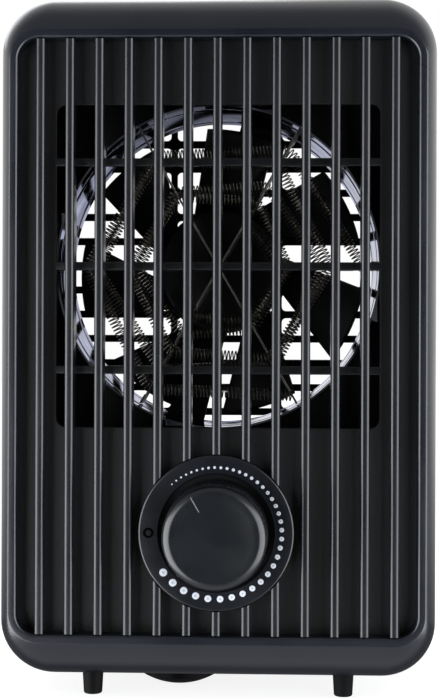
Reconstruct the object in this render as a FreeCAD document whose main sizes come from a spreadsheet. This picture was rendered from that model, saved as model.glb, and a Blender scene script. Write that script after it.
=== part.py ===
import FreeCAD, Part
import math
import operator
import os
from types import SimpleNamespace

import Sketcher
from FreeCAD import Placement, Rotation, Vector

# Upright fan heater. Millimetres, +X to the right seen from the front, +Y to the rear, +Z up.
# The origin is on the floor under the middle of the heater, knob included.

SIZES = {
    # case
    "body_width": 180.0,
    "body_height": 280.0,
    "body_depth": 116.0,
    "corner_radius": 22.5,
    "wall": 2.5,
    "bezel_depth": 20.0,
    "bezel_side": 5.5,
    "bezel_top": 15.5,
    "lip_width": 3.3,
    "lip_depth": 8.0,
    "seat_depth": 6.0,
    "lip_radius": 12.0,
    "lip_round": 1.2,
    "window_radius": 8.5,
    "cover_depth": 18.0,
    "fit_gap": 0.3,
    "thread_gap": 0.05,
    # front grille
    "panel_thick": 2.5,
    "flange_side": 2.4,
    "flange_top": 9.0,
    "rib_count": 13,
    "rib_margin": 9.2,
    "rib_width": 3.7,
    "rib_round": 1.3,
    "aperture_radius": 4.0,
    "aperture_rise": 29.0,
    "bar_height": 3.4,
    "bar_pitch": 42.6,
    "grille_screw_pitch": 55.0,
    # dial, knob and thermostat
    "knob_rise": 41.8,
    "knob_proud": 20.0,
    "knob_radius": 21.4,
    "knob_draft": 0.6,
    "knob_shoulder": 3.5,
    "knob_dish": 1.0,
    "knob_wall": 2.2,
    "knob_top_wall": 3.0,
    "knob_gap": 2.0,
    "knob_boss_radius": 6.0,
    "dial_radius": 31.6,
    "dial_round": 0.8,
    "well_radius": 23.6,
    "shaft_radius": 3.0,
    "shaft_fit": 0.05,
    "bush_radius": 5.0,
    "bush_length": 5.7,
    "bush_gap": 0.8,
    "nut_flats": 13.0,
    "nut_thick": 2.5,
    "thermostat_width": 30.0,
    "thermostat_height": 26.0,
    "thermostat_depth": 22.0,
    "shaft_depth": 10.0,
    # heating element and its duct
    "duct_radius": 66.0,
    "duct_sheet": 0.8,
    "duct_length": 53.0,
    "duct_boss_height": 5.0,
    "tab_stand": 5.2,
    "tab_reach": 4.0,
    "tab_width": 12.0,
    "mica_thick": 0.8,
    "mica_depth": 18.0,
    "mica_front": 9.5,
    "mica_slot": 1.8,
    "mica_gap": 0.6,
    "coil_margin": 4.5,
    "coil_step": 2.95,
    "coil_spokes": 13,
    "coil_curls": 48,
    "coil_radius": 2.2,
    "coil_wire": 0.7,
    "coil_bend": 6.0,
    "coil_sink": 4.0,
    "coil_room": 1.2,
    # fan and motor
    "fan_radius": 62.0,
    "fan_blades": 7,
    "fan_depth": 16.0,
    "fan_gap": 7.0,
    "hub_radius": 27.0,
    "hub_wall": 2.0,
    "hub_boss_radius": 4.5,
    "blade_thick": 1.6,
    "blade_root_chord": 19.2,
    "blade_tip_chord": 37.9,
    "blade_root_pitch": 44.0,
    "blade_tip_pitch": 19.0,
    "blade_camber": 2.4,
    "blade_sweep": 22.5,
    "blade_phase": 39.8,
    "shroud_depth": 28.0,
    "shroud_thick": 1.5,
    "shroud_margin": 8.0,
    "shroud_round": 6.0,
    "strap_angle": 76.0,
    "strap_width": 16.0,
    "strap_thick": 2.0,
    "strap_hub": 21.0,
    "motor_radius": 18.0,
    "motor_length": 28.0,
    "motor_sheet": 1.2,
    "cap_thick": 4.0,
    "axle_radius": 1.6,
    "axle_fit": 0.03,
    "axle_overhang": 3.0,
    "motor_bush_radius": 4.0,
    "motor_bush_length": 5.0,
    "rotor_gap": 1.5,
    "rotor_radius": 10.5,
    "rotor_length": 15.0,
    "commutator_radius": 4.0,
    "commutator_length": 5.0,
    "magnet_gap": 0.7,
    "magnet_angle": 130.0,
    "motor_screw_pitch": 26.0,
    "guard_part_radius": 42.0,
    "cutout_radius": 7.0,
    "cutout_height": 7.0,
    "fuse_width": 6.0,
    "fuse_length": 13.0,
    "fuse_height": 5.0,
    # rear cover and cord inlet
    "rear_round": 8.0,
    "slot_rows": 13,
    "slot_pitch": 11.6,
    "slot_height": 8.2,
    "slot_length": 47.0,
    "slot_column": 50.0,
    "slot_radius": 2.0,
    "post_inset": 12.0,
    "post_drop": 23.0,
    "post_radius": 4.5,
    "post_web": 3.0,
    "post_start": 13.0,
    "gland_x": 45.0,
    "gland_z": 34.0,
    "gland_radius": 7.0,
    "gland_bore": 4.0,
    "gland_flange": 2.5,
    "gland_flange_radius": 9.5,
    "block_length": 30.0,
    "block_width": 16.0,
    "block_height": 15.0,
    "block_gap": 17.0,
    "block_hole": 1.8,
    "block_pitch": 9.0,
    # screws
    "screw_radius": 1.4,
    "screw_head": 2.8,
    "screw_head_height": 1.8,
    "screw_bite": 5.0,
    "cover_screw_seat": 4.0,
    "cover_screw_bite": 10.0,
    # feet and tip-over switch
    "foot_height": 9.7,
    "foot_radius": 4.4,
    "foot_taper": 0.5,
    "foot_round": 0.9,
    "foot_spigot": 2.5,
    "foot_barb": 3.4,
    "foot_barb_height": 2.5,
    "foot_x": 52.5,
    "foot_front": 24.0,
    "foot_rear": 28.0,
    "tip_x": -17.4,
    "tip_depth": 48.0,
    "tip_radius": 16.0,
    "tip_dome": 31.0,
    "tip_travel": 5.0,
    "tip_gap": 0.6,
    "tip_flange": 2.0,
    "tip_stem_radius": 4.0,
    "tip_stem_top": 5.0,
    "tip_spring_length": 16.0,
    "tip_spring_radius": 6.5,
    "guide_thick": 2.0,
    "guide_width": 24.0,
    "guide_foot": 7.0,
    "switch_width": 12.0,
    "switch_length": 20.0,
    "switch_height": 10.0,
}

doc = FreeCAD.newDocument("fan_heater")
sheet = doc.addObject("Spreadsheet::Sheet", "Sizes")
for row, (name, number) in enumerate(SIZES.items(), start=1):
    sheet.set(f"A{row}", name)
    sheet.set(f"B{row}", str(number))
    sheet.setAlias(f"B{row}", name)
doc.recompute()

OPERATORS = {"+": operator.add, "-": operator.sub, "*": operator.mul, "/": operator.truediv}


class Size:
    """A cell of the sheet, or a formula of cells: its number now and its expression."""

    def __init__(self, value, text):
        self.value = value
        self.text = text

    def __add__(self, other):
        return combine(self, "+", other)

    def __radd__(self, other):
        return combine(other, "+", self)

    def __sub__(self, other):
        return combine(self, "-", other)

    def __rsub__(self, other):
        return combine(other, "-", self)

    def __mul__(self, other):
        return combine(self, "*", other)

    def __rmul__(self, other):
        return combine(other, "*", self)

    def __truediv__(self, other):
        return combine(self, "/", other)

    def __neg__(self):
        return combine(0, "-", self)


def sized(number):
    """A plain number as a Size, or a Size as it is."""
    if isinstance(number, Size):
        return number
    return Size(float(number), repr(float(number)))


def combine(left, sign, right):
    left, right = sized(left), sized(right)
    return Size(OPERATORS[sign](left.value, right.value), f"({left.text} {sign} {right.text})")


def root(size):
    return Size(math.sqrt(size.value), f"sqrt({size.text})")


def cosine(angle):
    return Size(math.cos(math.radians(angle.value)), f"cos({angle.text})")


def sine(angle):
    return Size(math.sin(math.radians(angle.value)), f"sin({angle.text})")


s = SimpleNamespace(**{name: Size(float(getattr(sheet, name)), f"Sizes.{name}") for name in SIZES})

# Places worked out from the sizes. A depth is counted from the front plane of lip and ribs.
front_y = -(s.body_depth - s.knob_proud) / 2
mid_z = s.foot_height + s.body_height / 2
floor_z = s.foot_height + s.wall
duct_z = mid_z + s.aperture_rise
lip_wide = s.body_width - 2 * s.bezel_side
lip_high = s.body_height - 2 * s.bezel_top
window_wide = lip_wide - 2 * s.lip_width
window_high = lip_high - 2 * s.lip_width
knob_z = mid_z - window_high / 2 + s.knob_rise
rib_pitch = (window_wide - 2 * s.rib_margin) / (s.rib_count - 1)
seat_wide = window_wide + 2 * (s.flange_side + s.fit_gap)
seat_high = window_high + 2 * (s.flange_top + s.fit_gap)
cavity_front = s.lip_depth + s.seat_depth
inner_wide = s.body_width - 2 * s.wall
inner_high = s.body_height - 2 * s.wall
inner_radius = s.corner_radius - s.wall
split_depth = s.body_depth - s.cover_depth
post_x = inner_wide / 2 - s.post_inset
post_z = inner_high / 2 - s.post_drop
panel_back = s.lip_depth + s.panel_thick
grille_screw_z = window_high / 2 + s.flange_top / 2
duct_front = panel_back + s.fit_gap
duct_back = duct_front + s.duct_length
duct_outer = s.duct_radius + s.duct_sheet
tab_radius = duct_outer + s.tab_stand
aperture_side = 2 * s.duct_radius
coil_start = s.duct_radius - s.coil_margin - s.coil_spokes * s.coil_step
tab_front = panel_back + s.duct_boss_height
mica_front = panel_back + s.mica_front
mica_back = mica_front + s.mica_depth
fan_front = mica_back + s.fan_gap
strap_back = duct_back + s.strap_thick
motor_inner = s.motor_radius - s.motor_sheet
cap_front = strap_back + s.motor_length
cap_back = cap_front + s.cap_thick
rotor_front = strap_back + s.motor_bush_length + s.rotor_gap
cover_inside = s.body_depth - s.wall
tip_y = front_y + s.tip_depth
rear_foot = s.body_depth - s.foot_rear
plunger_flange = floor_z + s.tip_travel + s.tip_gap
spring_foot = plunger_flange + s.tip_flange
guide_under = spring_foot + s.tip_spring_length
guide_top = guide_under + s.guide_thick
guide_inside = s.tip_radius + s.tip_flange + s.tip_gap
screw_hole = s.screw_radius + s.fit_gap
screw_pilot = s.screw_radius + s.thread_gap


def bind(thing, prop, size):
    thing.setExpression(prop, sized(size).text)


def at_depth(depth):
    """Y of a depth behind the front plane."""
    return front_y + depth


# Bodies, sketches and features


def new_body(label):
    body = doc.addObject("PartDesign::Body", label)
    body.Label = label
    return body


def new_sketch(body, name, role, offset):
    """A sketch on one of the body's own planes, moved by offset along the sketch's x, y and normal."""
    sketch = body.newObject("Sketcher::SketchObject", f"{body.Label}_{name}")
    plane = next(feature for feature in body.Origin.OriginFeatures if feature.Role == role)
    sketch.AttachmentSupport = [(plane, "")]
    sketch.MapMode = "FlatFace"
    for axis, amount in zip("xyz", offset):
        bind(sketch, f"AttachmentOffset.Base.{axis}", amount)
    return sketch


def front_sketch(body, name, depth, x=0, z=0):
    """A sketch that looks at the front: u is X, v is Z, at a depth behind the front plane."""
    return new_sketch(body, name, "XZ_Plane", (x, z, -at_depth(depth)))


def floor_sketch(body, name, z, x=0, y=0):
    return new_sketch(body, name, "XY_Plane", (x, y, z))


def hold(sketch, kind, size, *places):
    """A dimension of the sketch, driven by the size's expression."""
    size = sized(size)
    index = sketch.addConstraint(Sketcher.Constraint(kind, *places, size.value))
    sketch.setExpression(f"Constraints[{index}]", size.text)


def hold_point(sketch, geometry, position, u, v):
    hold(sketch, "DistanceX", u, -1, 1, geometry, position)
    hold(sketch, "DistanceY", v, -1, 1, geometry, position)


def arc_between(start, end, radius, turn):
    """The short arc of a radius from start to end, turning left (1) or right (-1)."""
    chord = end - start
    side = Vector(-chord.y, chord.x, 0).normalize() * turn
    centre = (start + end) * 0.5 + side * math.sqrt(max(radius**2 - chord.Length**2 / 4, 0.0))
    first, last = (start, end) if turn > 0 else (end, start)
    angles = [math.atan2(point.y - centre.y, point.x - centre.x) for point in (first, last)]
    return Part.ArcOfCircle(Part.Circle(centre, Vector(0, 0, 1), radius), *angles)


def outline(sketch, points):
    """A closed outline: each point is (u, v) for a line to it, or (u, v, radius, turn) for an arc."""
    ends = [(sized(point[0]), sized(point[1])) for point in points]
    tails = []
    heads = []
    for index, point in enumerate(points):
        start, end = (Vector(u.value, v.value, 0) for u, v in (ends[index - 1], ends[index]))
        if len(point) == 2:
            geometry = sketch.addGeometry(Part.LineSegment(start, end))
            turn = 1
        else:
            radius, turn = sized(point[2]), point[3]
            geometry = sketch.addGeometry(arc_between(start, end, radius.value, turn))
        tails.append((geometry, 1 if turn > 0 else 2))
        heads.append((geometry, 2 if turn > 0 else 1))
    for index, point in enumerate(points):
        sketch.addConstraint(Sketcher.Constraint("Coincident", *heads[index - 1], *tails[index]))
        hold_point(sketch, *heads[index], *ends[index])
        if len(point) == 4:
            hold(sketch, "Radius", point[2], heads[index][0])


def rectangle(sketch, u, v, wide, high):
    """A rectangle about the centre (u, v)."""
    left, right = u - sized(wide) / 2, u + sized(wide) / 2
    low, top = v - sized(high) / 2, v + sized(high) / 2
    outline(sketch, [(left, low), (right, low), (right, top), (left, top)])


def rounded(sketch, wide, high, radius, u=0, v=0):
    """A rectangle with round corners about the centre (u, v)."""
    left, right = u - wide / 2, u + wide / 2
    low, top = v - high / 2, v + high / 2
    outline(sketch, [
        (right - radius, low), (right, low + radius, radius, 1),
        (right, top - radius), (right - radius, top, radius, 1),
        (left + radius, top), (left, top - radius, radius, 1),
        (left, low + radius), (left + radius, low, radius, 1),
    ])


def circle(sketch, radius, u=0, v=0):
    u, v, radius = sized(u), sized(v), sized(radius)
    geometry = sketch.addGeometry(Part.Circle(Vector(u.value, v.value, 0), Vector(0, 0, 1), radius.value))
    hold_point(sketch, geometry, 3, u, v)
    hold(sketch, "Radius", radius, geometry)


def feature(body, kind, sketch, length, reverse=False):
    made = body.newObject(f"PartDesign::{kind}", f"{sketch.Name}_{kind.lower()}")
    made.Profile = sketch
    bind(made, "Length", length)
    made.Reversed = reverse
    return made


def pad_back(body, sketch, length):
    """Grow from a front sketch towards the rear."""
    return feature(body, "Pad", sketch, length, reverse=True)


def pad_front(body, sketch, length):
    return feature(body, "Pad", sketch, length)


def pocket_back(body, sketch, length):
    """Cut from a front sketch towards the rear, or from a floor sketch downwards."""
    return feature(body, "Pocket", sketch, length)


def turned(label, axis, offset, points):
    """A turned piece: points (along, radius) about Y through (x, z), or (radius, height) about Z."""
    body = new_body(label)
    if axis == "Y":
        x, y, z = offset
        sketch = new_sketch(body, "profile", "YZ_Plane", (y, z, x))
        line = "H_Axis"
    else:
        x, y, z = offset
        sketch = new_sketch(body, "profile", "XZ_Plane", (x, z, -y))
        line = "V_Axis"
    outline(sketch, points)
    turn = body.newObject("PartDesign::Revolution", f"{label}_turned")
    turn.Profile = sketch
    turn.ReferenceAxis = (sketch, [line])
    turn.Angle = 360
    return body


def place_turned(thing, angle, y, z):
    """Turn a body about Y so that its own x points up at an angle, and move it to (0, y, z)."""
    thing.Placement = Placement(Vector(0, 0, 0), Rotation(Vector(0, 1, 0), -sized(angle).value))
    bind(thing, "Placement.Rotation.Angle", -sized(angle))
    bind(thing, "Placement.Base.y", y)
    bind(thing, "Placement.Base.z", z)


def front_edges(shape, y, keep):
    """Names of the edges that lie in the plane y and pass the keep test on their middle."""
    names = []
    for index, edge in enumerate(shape.Edges, start=1):
        middle = edge.valueAt((edge.FirstParameter + edge.LastParameter) / 2)
        flat = all(abs(vertex.Y - y) < 1e-4 for vertex in edge.Vertexes)
        if flat and abs(middle.y - y) < 1e-4 and keep(middle):
            names.append(f"Edge{index}")
    return names


def fillet(body, base, names, radius):
    rounding = body.newObject("PartDesign::Fillet", f"{body.Label}_round")
    rounding.Base = (base, names)
    bind(rounding, "Radius", radius)
    return rounding


# Groups of like screws


def cylinder(name, radius, length, x, y, z, along="Y"):
    """A cylinder that starts at (x, y, z) and runs along +Y, -Y or +Z."""
    made = doc.addObject("Part::Cylinder", name)
    tilt = {"Y": -90, "-Y": 90, "Z": 0}[along]
    made.Placement = Placement(Vector(0, 0, 0), Rotation(Vector(1, 0, 0), tilt))
    bind(made, "Radius", radius)
    bind(made, "Height", length)
    for axis, amount in zip("xyz", (x, y, z)):
        bind(made, f"Placement.Base.{axis}", amount)
    return made


def screws(label, seats, seat_depth, bite, along):
    """A group of screws seated at (x, z) places: the head stands off the seat, the shank goes along."""
    pieces = []
    away = "Y" if along == "-Y" else "-Y"
    for index, (x, z) in enumerate(seats):
        head = cylinder(f"{label}_head_{index}", s.screw_head, s.screw_head_height,
                        x, at_depth(seat_depth), z, away)
        shank = cylinder(f"{label}_shank_{index}", s.screw_radius, bite,
                         x, at_depth(seat_depth), z, along)
        screw = doc.addObject("Part::Fuse", f"{label}_screw_{index}")
        screw.Base, screw.Tool = head, shank
        pieces.append(screw)
    group = doc.addObject("Part::Compound", label)
    group.Label = label
    group.Links = pieces
    return group


def around_duct(radius, angles):
    """Places (x, z) at a radius from the duct's axis, at angles from the strap's own angle."""
    return [(radius * cosine(s.strap_angle + angle), duct_z + radius * sine(s.strap_angle + angle))
            for angle in angles]


QUARTERS = (0, 90, 180, 270)
HALVES = (0, 180)
POSTS = [(side * post_x, mid_z + level * post_z) for side in (-1, 1) for level in (-1, 1)]
GRILLE_SCREWS = [(column * s.grille_screw_pitch, mid_z + level * grille_screw_z)
                 for column in (-1, 0, 1) for level in (-1, 1)]
DUCT_SCREWS = around_duct(tab_radius, QUARTERS)
STRAP_SCREWS = around_duct(tab_radius, HALVES)
MOTOR_SCREWS = around_duct(s.motor_screw_pitch / 2, HALVES)


# Case


def make_housing():
    """Case sleeve: rounded bezel, flat lip round the window, seat of the grille, walls back to the split."""
    body = new_body("housing")
    steps = (25, 42, 58, 74, 90)
    first = math.radians(steps[0])
    sections = []
    for step in steps:
        angle = math.radians(step)
        inset = (1 - math.sin(angle)) / (1 - math.sin(first))
        depth = (math.cos(first) - math.cos(angle)) / math.cos(first)
        sketch = front_sketch(body, f"bezel_{step}", s.bezel_depth * depth, z=mid_z)
        radius = s.corner_radius - (s.corner_radius - s.lip_radius) * inset
        rounded(sketch, s.body_width - 2 * s.bezel_side * inset,
                s.body_height - 2 * s.bezel_top * inset, radius)
        sections.append(sketch)
    nose = body.newObject("PartDesign::AdditiveLoft", "housing_bezel")
    nose.Profile = sections[0]
    nose.Sections = sections[1:]
    pad_back(body, sections[-1], split_depth - s.bezel_depth)
    seat = front_sketch(body, "seat", s.lip_depth, z=mid_z)
    rounded(seat, seat_wide, seat_high, s.window_radius + s.flange_side)
    pocket_back(body, seat, s.seat_depth)
    cavity = front_sketch(body, "cavity", cavity_front, z=mid_z)
    rounded(cavity, inner_wide, inner_high, inner_radius)
    pocket_back(body, cavity, split_depth - cavity_front)
    window = front_sketch(body, "window", 0, z=mid_z)
    rounded(window, window_wide, window_high, s.window_radius)
    opened = pocket_back(body, window, s.lip_depth + s.wall)
    doc.recompute()
    inside = [window_wide.value / 2 + s.lip_width.value / 2, window_high.value / 2 + s.lip_width.value / 2]
    edges = front_edges(opened.Shape, front_y.value,
                        lambda p: abs(p.x) < inside[0] and abs(p.z - mid_z.value) < inside[1])
    fillet(body, opened, edges, s.lip_round)
    posts = front_sketch(body, "posts", s.post_start)
    for x, z in POSTS:
        circle(posts, s.post_radius, x, z)
    pad_back(body, posts, split_depth - s.post_start)
    webs = front_sketch(body, "webs", s.post_start)
    web_end = inner_wide / 2 + s.wall / 2
    for side in (-1, 1):
        for level in (-1, 1):
            rectangle(webs, side * (post_x + web_end) / 2, mid_z + level * post_z,
                      web_end - post_x, s.post_web)
    pad_back(body, webs, split_depth - s.post_start)
    pilots = front_sketch(body, "post_pilots", split_depth - s.cover_screw_bite)
    for x, z in POSTS:
        circle(pilots, screw_pilot, x, z)
    pocket_back(body, pilots, s.cover_screw_bite)
    lip_pilots = front_sketch(body, "lip_pilots", s.lip_depth - s.screw_bite)
    for x, z in GRILLE_SCREWS:
        circle(lip_pilots, screw_pilot, x, z)
    pocket_back(body, lip_pilots, s.screw_bite)
    base = floor_sketch(body, "base_holes", floor_z)
    circle(base, s.tip_radius + s.tip_gap, s.tip_x, tip_y)
    for x in (-s.foot_x, s.foot_x):
        for depth in (s.foot_front, rear_foot):
            circle(base, s.foot_spigot + s.thread_gap, x, at_depth(depth))
    pocket_back(body, base, s.wall)
    return body


def make_rear_cover():
    """Rear case half: rounded edge, air slots, screw wells and the hole of the cord gland."""
    body = new_body("rear_cover")
    depth = s.body_depth - split_depth
    shell = front_sketch(body, "shell", split_depth, z=mid_z)
    rounded(shell, s.body_width, s.body_height, s.corner_radius)
    block = pad_back(body, shell, depth)
    doc.recompute()
    rear_y = at_depth(s.body_depth).value
    fillet(body, block, front_edges(block.Shape, rear_y, lambda p: True), s.rear_round)
    hollow = front_sketch(body, "hollow", split_depth, z=mid_z)
    rounded(hollow, inner_wide, inner_high, inner_radius)
    pocket_back(body, hollow, depth - s.rear_round)
    well = front_sketch(body, "well", split_depth, z=mid_z)
    rounded(well, inner_wide - 2 * s.wall, inner_high - 2 * s.wall, inner_radius - s.wall)
    pocket_back(body, well, depth - s.wall)
    pillars = front_sketch(body, "pillars", split_depth)
    for x, z in POSTS:
        circle(pillars, s.post_radius, x, z)
    pad_back(body, pillars, depth - s.wall / 2)
    wells = front_sketch(body, "screw_wells", split_depth + s.cover_screw_seat)
    for x, z in POSTS:
        circle(wells, s.screw_head + s.fit_gap, x, z)
    pocket_back(body, wells, depth - s.cover_screw_seat)
    holes = front_sketch(body, "screw_holes", split_depth)
    for x, z in POSTS:
        circle(holes, screw_hole, x, z)
    pocket_back(body, holes, s.cover_screw_seat + s.wall / 2)
    inlet = front_sketch(body, "inlet", cover_inside)
    circle(inlet, s.gland_radius + s.thread_gap, s.gland_x, s.gland_z)
    pocket_back(body, inlet, s.wall)
    lowest = duct_z - (s.slot_rows - 1) * s.slot_pitch / 2
    row = front_sketch(body, "slot_row", cover_inside)
    for column in (-1, 0, 1):
        rounded(row, s.slot_length, s.slot_height, s.slot_radius, column * s.slot_column, lowest)
    slots = pocket_back(body, row, s.wall)
    rows = body.newObject("PartDesign::LinearPattern", "rear_cover_slots")
    rows.Originals = [slots]
    rows.Direction = (row, ["V_Axis"])
    bind(rows, "Length", (s.slot_rows - 1) * s.slot_pitch)
    bind(rows, "Occurrences", s.slot_rows)
    body.Tip = rows
    return body


def make_front_grille():
    """Recessed panel with the air opening, its cross bars, and the ribs that stand on it."""
    body = new_body("front_grille")
    panel = front_sketch(body, "panel", s.lip_depth, z=mid_z)
    rounded(panel, window_wide + 2 * s.flange_side, window_high + 2 * s.flange_top,
            s.window_radius + s.flange_side)
    rounded(panel, aperture_side, aperture_side, s.aperture_radius, 0, s.aperture_rise)
    pad_back(body, panel, s.panel_thick)
    bars = front_sketch(body, "cross_bars", s.lip_depth, z=duct_z)
    for level in (-1, 0, 1):
        rectangle(bars, 0, level * s.bar_pitch, aperture_side + s.panel_thick, s.bar_height)
    pad_back(body, bars, s.panel_thick)
    rib_length = window_high - 2 * s.fit_gap
    first_x = -(s.rib_count - 1) * rib_pitch / 2
    section = floor_sketch(body, "rib", mid_z - rib_length / 2, x=first_x, y=front_y)
    half = s.rib_width / 2
    foot = s.lip_depth + s.panel_thick / 2
    outline(section, [
        (-half, foot), (-half, s.rib_round), (s.rib_round - half, 0, s.rib_round, -1),
        (half - s.rib_round, 0), (half, s.rib_round, s.rib_round, -1), (half, foot),
    ])
    rib = feature(body, "Pad", section, rib_length)
    ribs = body.newObject("PartDesign::LinearPattern", "front_grille_ribs")
    ribs.Originals = [rib]
    ribs.Direction = (section, ["H_Axis"])
    bind(ribs, "Length", (s.rib_count - 1) * rib_pitch)
    bind(ribs, "Occurrences", s.rib_count)
    body.Tip = ribs
    seat = front_sketch(body, "dial_seat", 0, z=knob_z)
    circle(seat, s.dial_radius + s.fit_gap)
    pocket_back(body, seat, s.lip_depth)
    bosses = front_sketch(body, "duct_bosses", panel_back)
    for x, z in DUCT_SCREWS:
        circle(bosses, 2 * s.screw_radius + s.fit_gap, x, z)
    pad_back(body, bosses, s.duct_boss_height)
    pilots = front_sketch(body, "duct_pilots", panel_back)
    for x, z in DUCT_SCREWS:
        circle(pilots, screw_pilot, x, z)
    pocket_back(body, pilots, s.duct_boss_height)
    holes = front_sketch(body, "panel_holes", s.lip_depth)
    for x, z in GRILLE_SCREWS:
        circle(holes, screw_hole, x, z)
    circle(holes, s.bush_radius + s.fit_gap, 0, knob_z)
    pocket_back(body, holes, s.panel_thick)
    return body


def make_foot(label, x, depth):
    """Tapered peg with a spigot through the base and a barb that holds it."""
    low = s.foot_radius - s.foot_taper
    barb = s.foot_height + s.wall
    return turned(label, "Z", (x, at_depth(depth), 0), [
        (0, 0), (low - s.foot_round, 0), (low, s.foot_round, s.foot_round, 1),
        (s.foot_radius, s.foot_height), (s.foot_spigot, s.foot_height), (s.foot_spigot, barb),
        (s.foot_barb, barb), (s.foot_spigot, barb + s.foot_barb_height), (0, barb + s.foot_barb_height),
    ])


# Dial, knob and thermostat


def make_dial_plate():
    """Dial ring that stands on the panel, flush with the ribs, round the knob's well."""
    return turned("dial_plate", "Y", (0, front_y, knob_z), [
        (s.lip_depth, s.well_radius), (s.dial_round, s.well_radius),
        (0, s.well_radius + s.dial_round, s.dial_round, -1), (0, s.dial_radius - s.dial_round),
        (s.dial_round, s.dial_radius, s.dial_round, -1), (s.lip_depth, s.dial_radius),
    ])


def make_knob():
    """Hollow knob: drafted side, round shoulder, dished face, boss for the thermostat's shaft."""
    rim = s.lip_depth - s.knob_gap
    top = -s.knob_proud
    upper = s.knob_radius - s.knob_draft
    face = upper - s.knob_shoulder
    dish_radius = (face * face + s.knob_dish * s.knob_dish) / (2 * s.knob_dish)
    ceiling = top + s.knob_dish + s.knob_top_wall
    bore = s.shaft_radius + s.shaft_fit
    boss_end = s.lip_depth + s.panel_thick - s.bush_length - s.bush_gap
    return turned("knob", "Y", (0, front_y, knob_z), [
        (rim, s.knob_radius - s.knob_wall), (rim, s.knob_radius),
        (top + s.knob_shoulder, upper), (top, face, s.knob_shoulder, 1),
        (top + s.knob_dish, 0, dish_radius, -1), (ceiling, 0), (ceiling, bore), (boss_end, bore),
        (boss_end, s.knob_boss_radius), (ceiling, s.knob_boss_radius), (ceiling, face),
    ])


def make_thermostat():
    """Thermostat block behind the panel with its threaded bush, nut and turning shaft."""
    body = new_body("thermostat_body")
    block = front_sketch(body, "block", panel_back, z=knob_z)
    rounded(block, s.thermostat_width, s.thermostat_height, s.wall)
    pad_back(body, block, s.thermostat_depth)
    bush = front_sketch(body, "bush", panel_back, z=knob_z)
    circle(bush, s.bush_radius)
    pad_front(body, bush, s.bush_length)
    bore = front_sketch(body, "bore", panel_back - s.bush_length, z=knob_z)
    circle(bore, s.shaft_radius + s.shaft_fit)
    pocket_back(body, bore, s.bush_length + s.shaft_depth)
    shaft_front = -s.knob_proud + s.knob_dish + s.knob_top_wall + s.shaft_fit
    shaft_back = panel_back + s.shaft_depth - s.fit_gap
    shaft = cylinder("thermostat_shaft", s.shaft_radius, shaft_back - shaft_front,
                     0, at_depth(shaft_front), knob_z)
    hexagon = doc.addObject("Part::Prism", "nut_hexagon")
    hexagon.Polygon = 6
    hexagon.Placement = Placement(Vector(0, 0, 0), Rotation(Vector(1, 0, 0), -90))
    bind(hexagon, "Circumradius", s.nut_flats / math.sqrt(3))
    bind(hexagon, "Height", s.nut_thick)
    bind(hexagon, "Placement.Base.y", at_depth(s.lip_depth - s.nut_thick))
    bind(hexagon, "Placement.Base.z", knob_z)
    thread = cylinder("nut_thread", s.bush_radius + s.thread_gap, s.nut_thick,
                      0, at_depth(s.lip_depth - s.nut_thick), knob_z)
    nut = doc.addObject("Part::Cut", "thermostat_nut")
    nut.Base, nut.Tool = hexagon, thread
    return [body, shaft, nut]


# Heating element


def make_duct_ring():
    """Sheet-metal ring with front tabs for the panel's bosses and rear tabs for the motor strap."""
    body = new_body("duct_ring")
    place_turned(body, s.strap_angle, front_y, duct_z)

    def own_sketch(name, depth):
        return new_sketch(body, name, "XZ_Plane", (0, 0, -depth))

    ring = own_sketch("ring", duct_front)
    circle(ring, duct_outer)
    circle(ring, s.duct_radius)
    pad_back(body, ring, s.duct_length)
    reach = tab_radius + s.tab_reach - s.duct_radius - s.duct_sheet / 2
    middle = s.duct_radius + s.duct_sheet / 2 + reach / 2
    for name, depth, sides in (("front", tab_front, QUARTERS), ("rear", duct_back - s.duct_sheet, HALVES)):
        tabs = own_sketch(f"{name}_tabs", depth)
        holes = own_sketch(f"{name}_holes", depth)
        for angle in sides:
            along, across = round(math.cos(math.radians(angle))), round(math.sin(math.radians(angle)))
            wide, high = (reach, s.tab_width) if along else (s.tab_width, reach)
            rectangle(tabs, along * middle, across * middle, wide, high)
            circle(holes, screw_hole, along * tab_radius, across * tab_radius)
        pad_back(body, tabs, s.duct_sheet)
        pocket_back(body, holes, s.duct_sheet)
    return body


def make_shroud():
    """Square plate pressed over the duct, so that the fan draws only from behind."""
    body = new_body("fan_shroud")
    plate = front_sketch(body, "plate", duct_front + s.shroud_depth, z=duct_z)
    side = 2 * (duct_outer + s.shroud_margin)
    rounded(plate, side, side, s.shroud_round)
    circle(plate, duct_outer + s.thread_gap)
    pad_back(body, plate, s.shroud_thick)
    return body


COILS = {
    "heating_coil_front": (4, 1, s.coil_sink),
    "heating_coil_rear": (1, -1, s.mica_depth - s.coil_sink),
}
bend_inset = s.coil_bend * (1 / math.cos(math.radians(30)) - 1)


def coil_spokes(first, way):
    """Spoke number and radius of each corner of a coil that winds outwards, spoke by spoke."""
    return [((first + way * step) % 6, coil_start + step * s.coil_step)
            for step in range(int(s.coil_spokes.value) + 1)]


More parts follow.
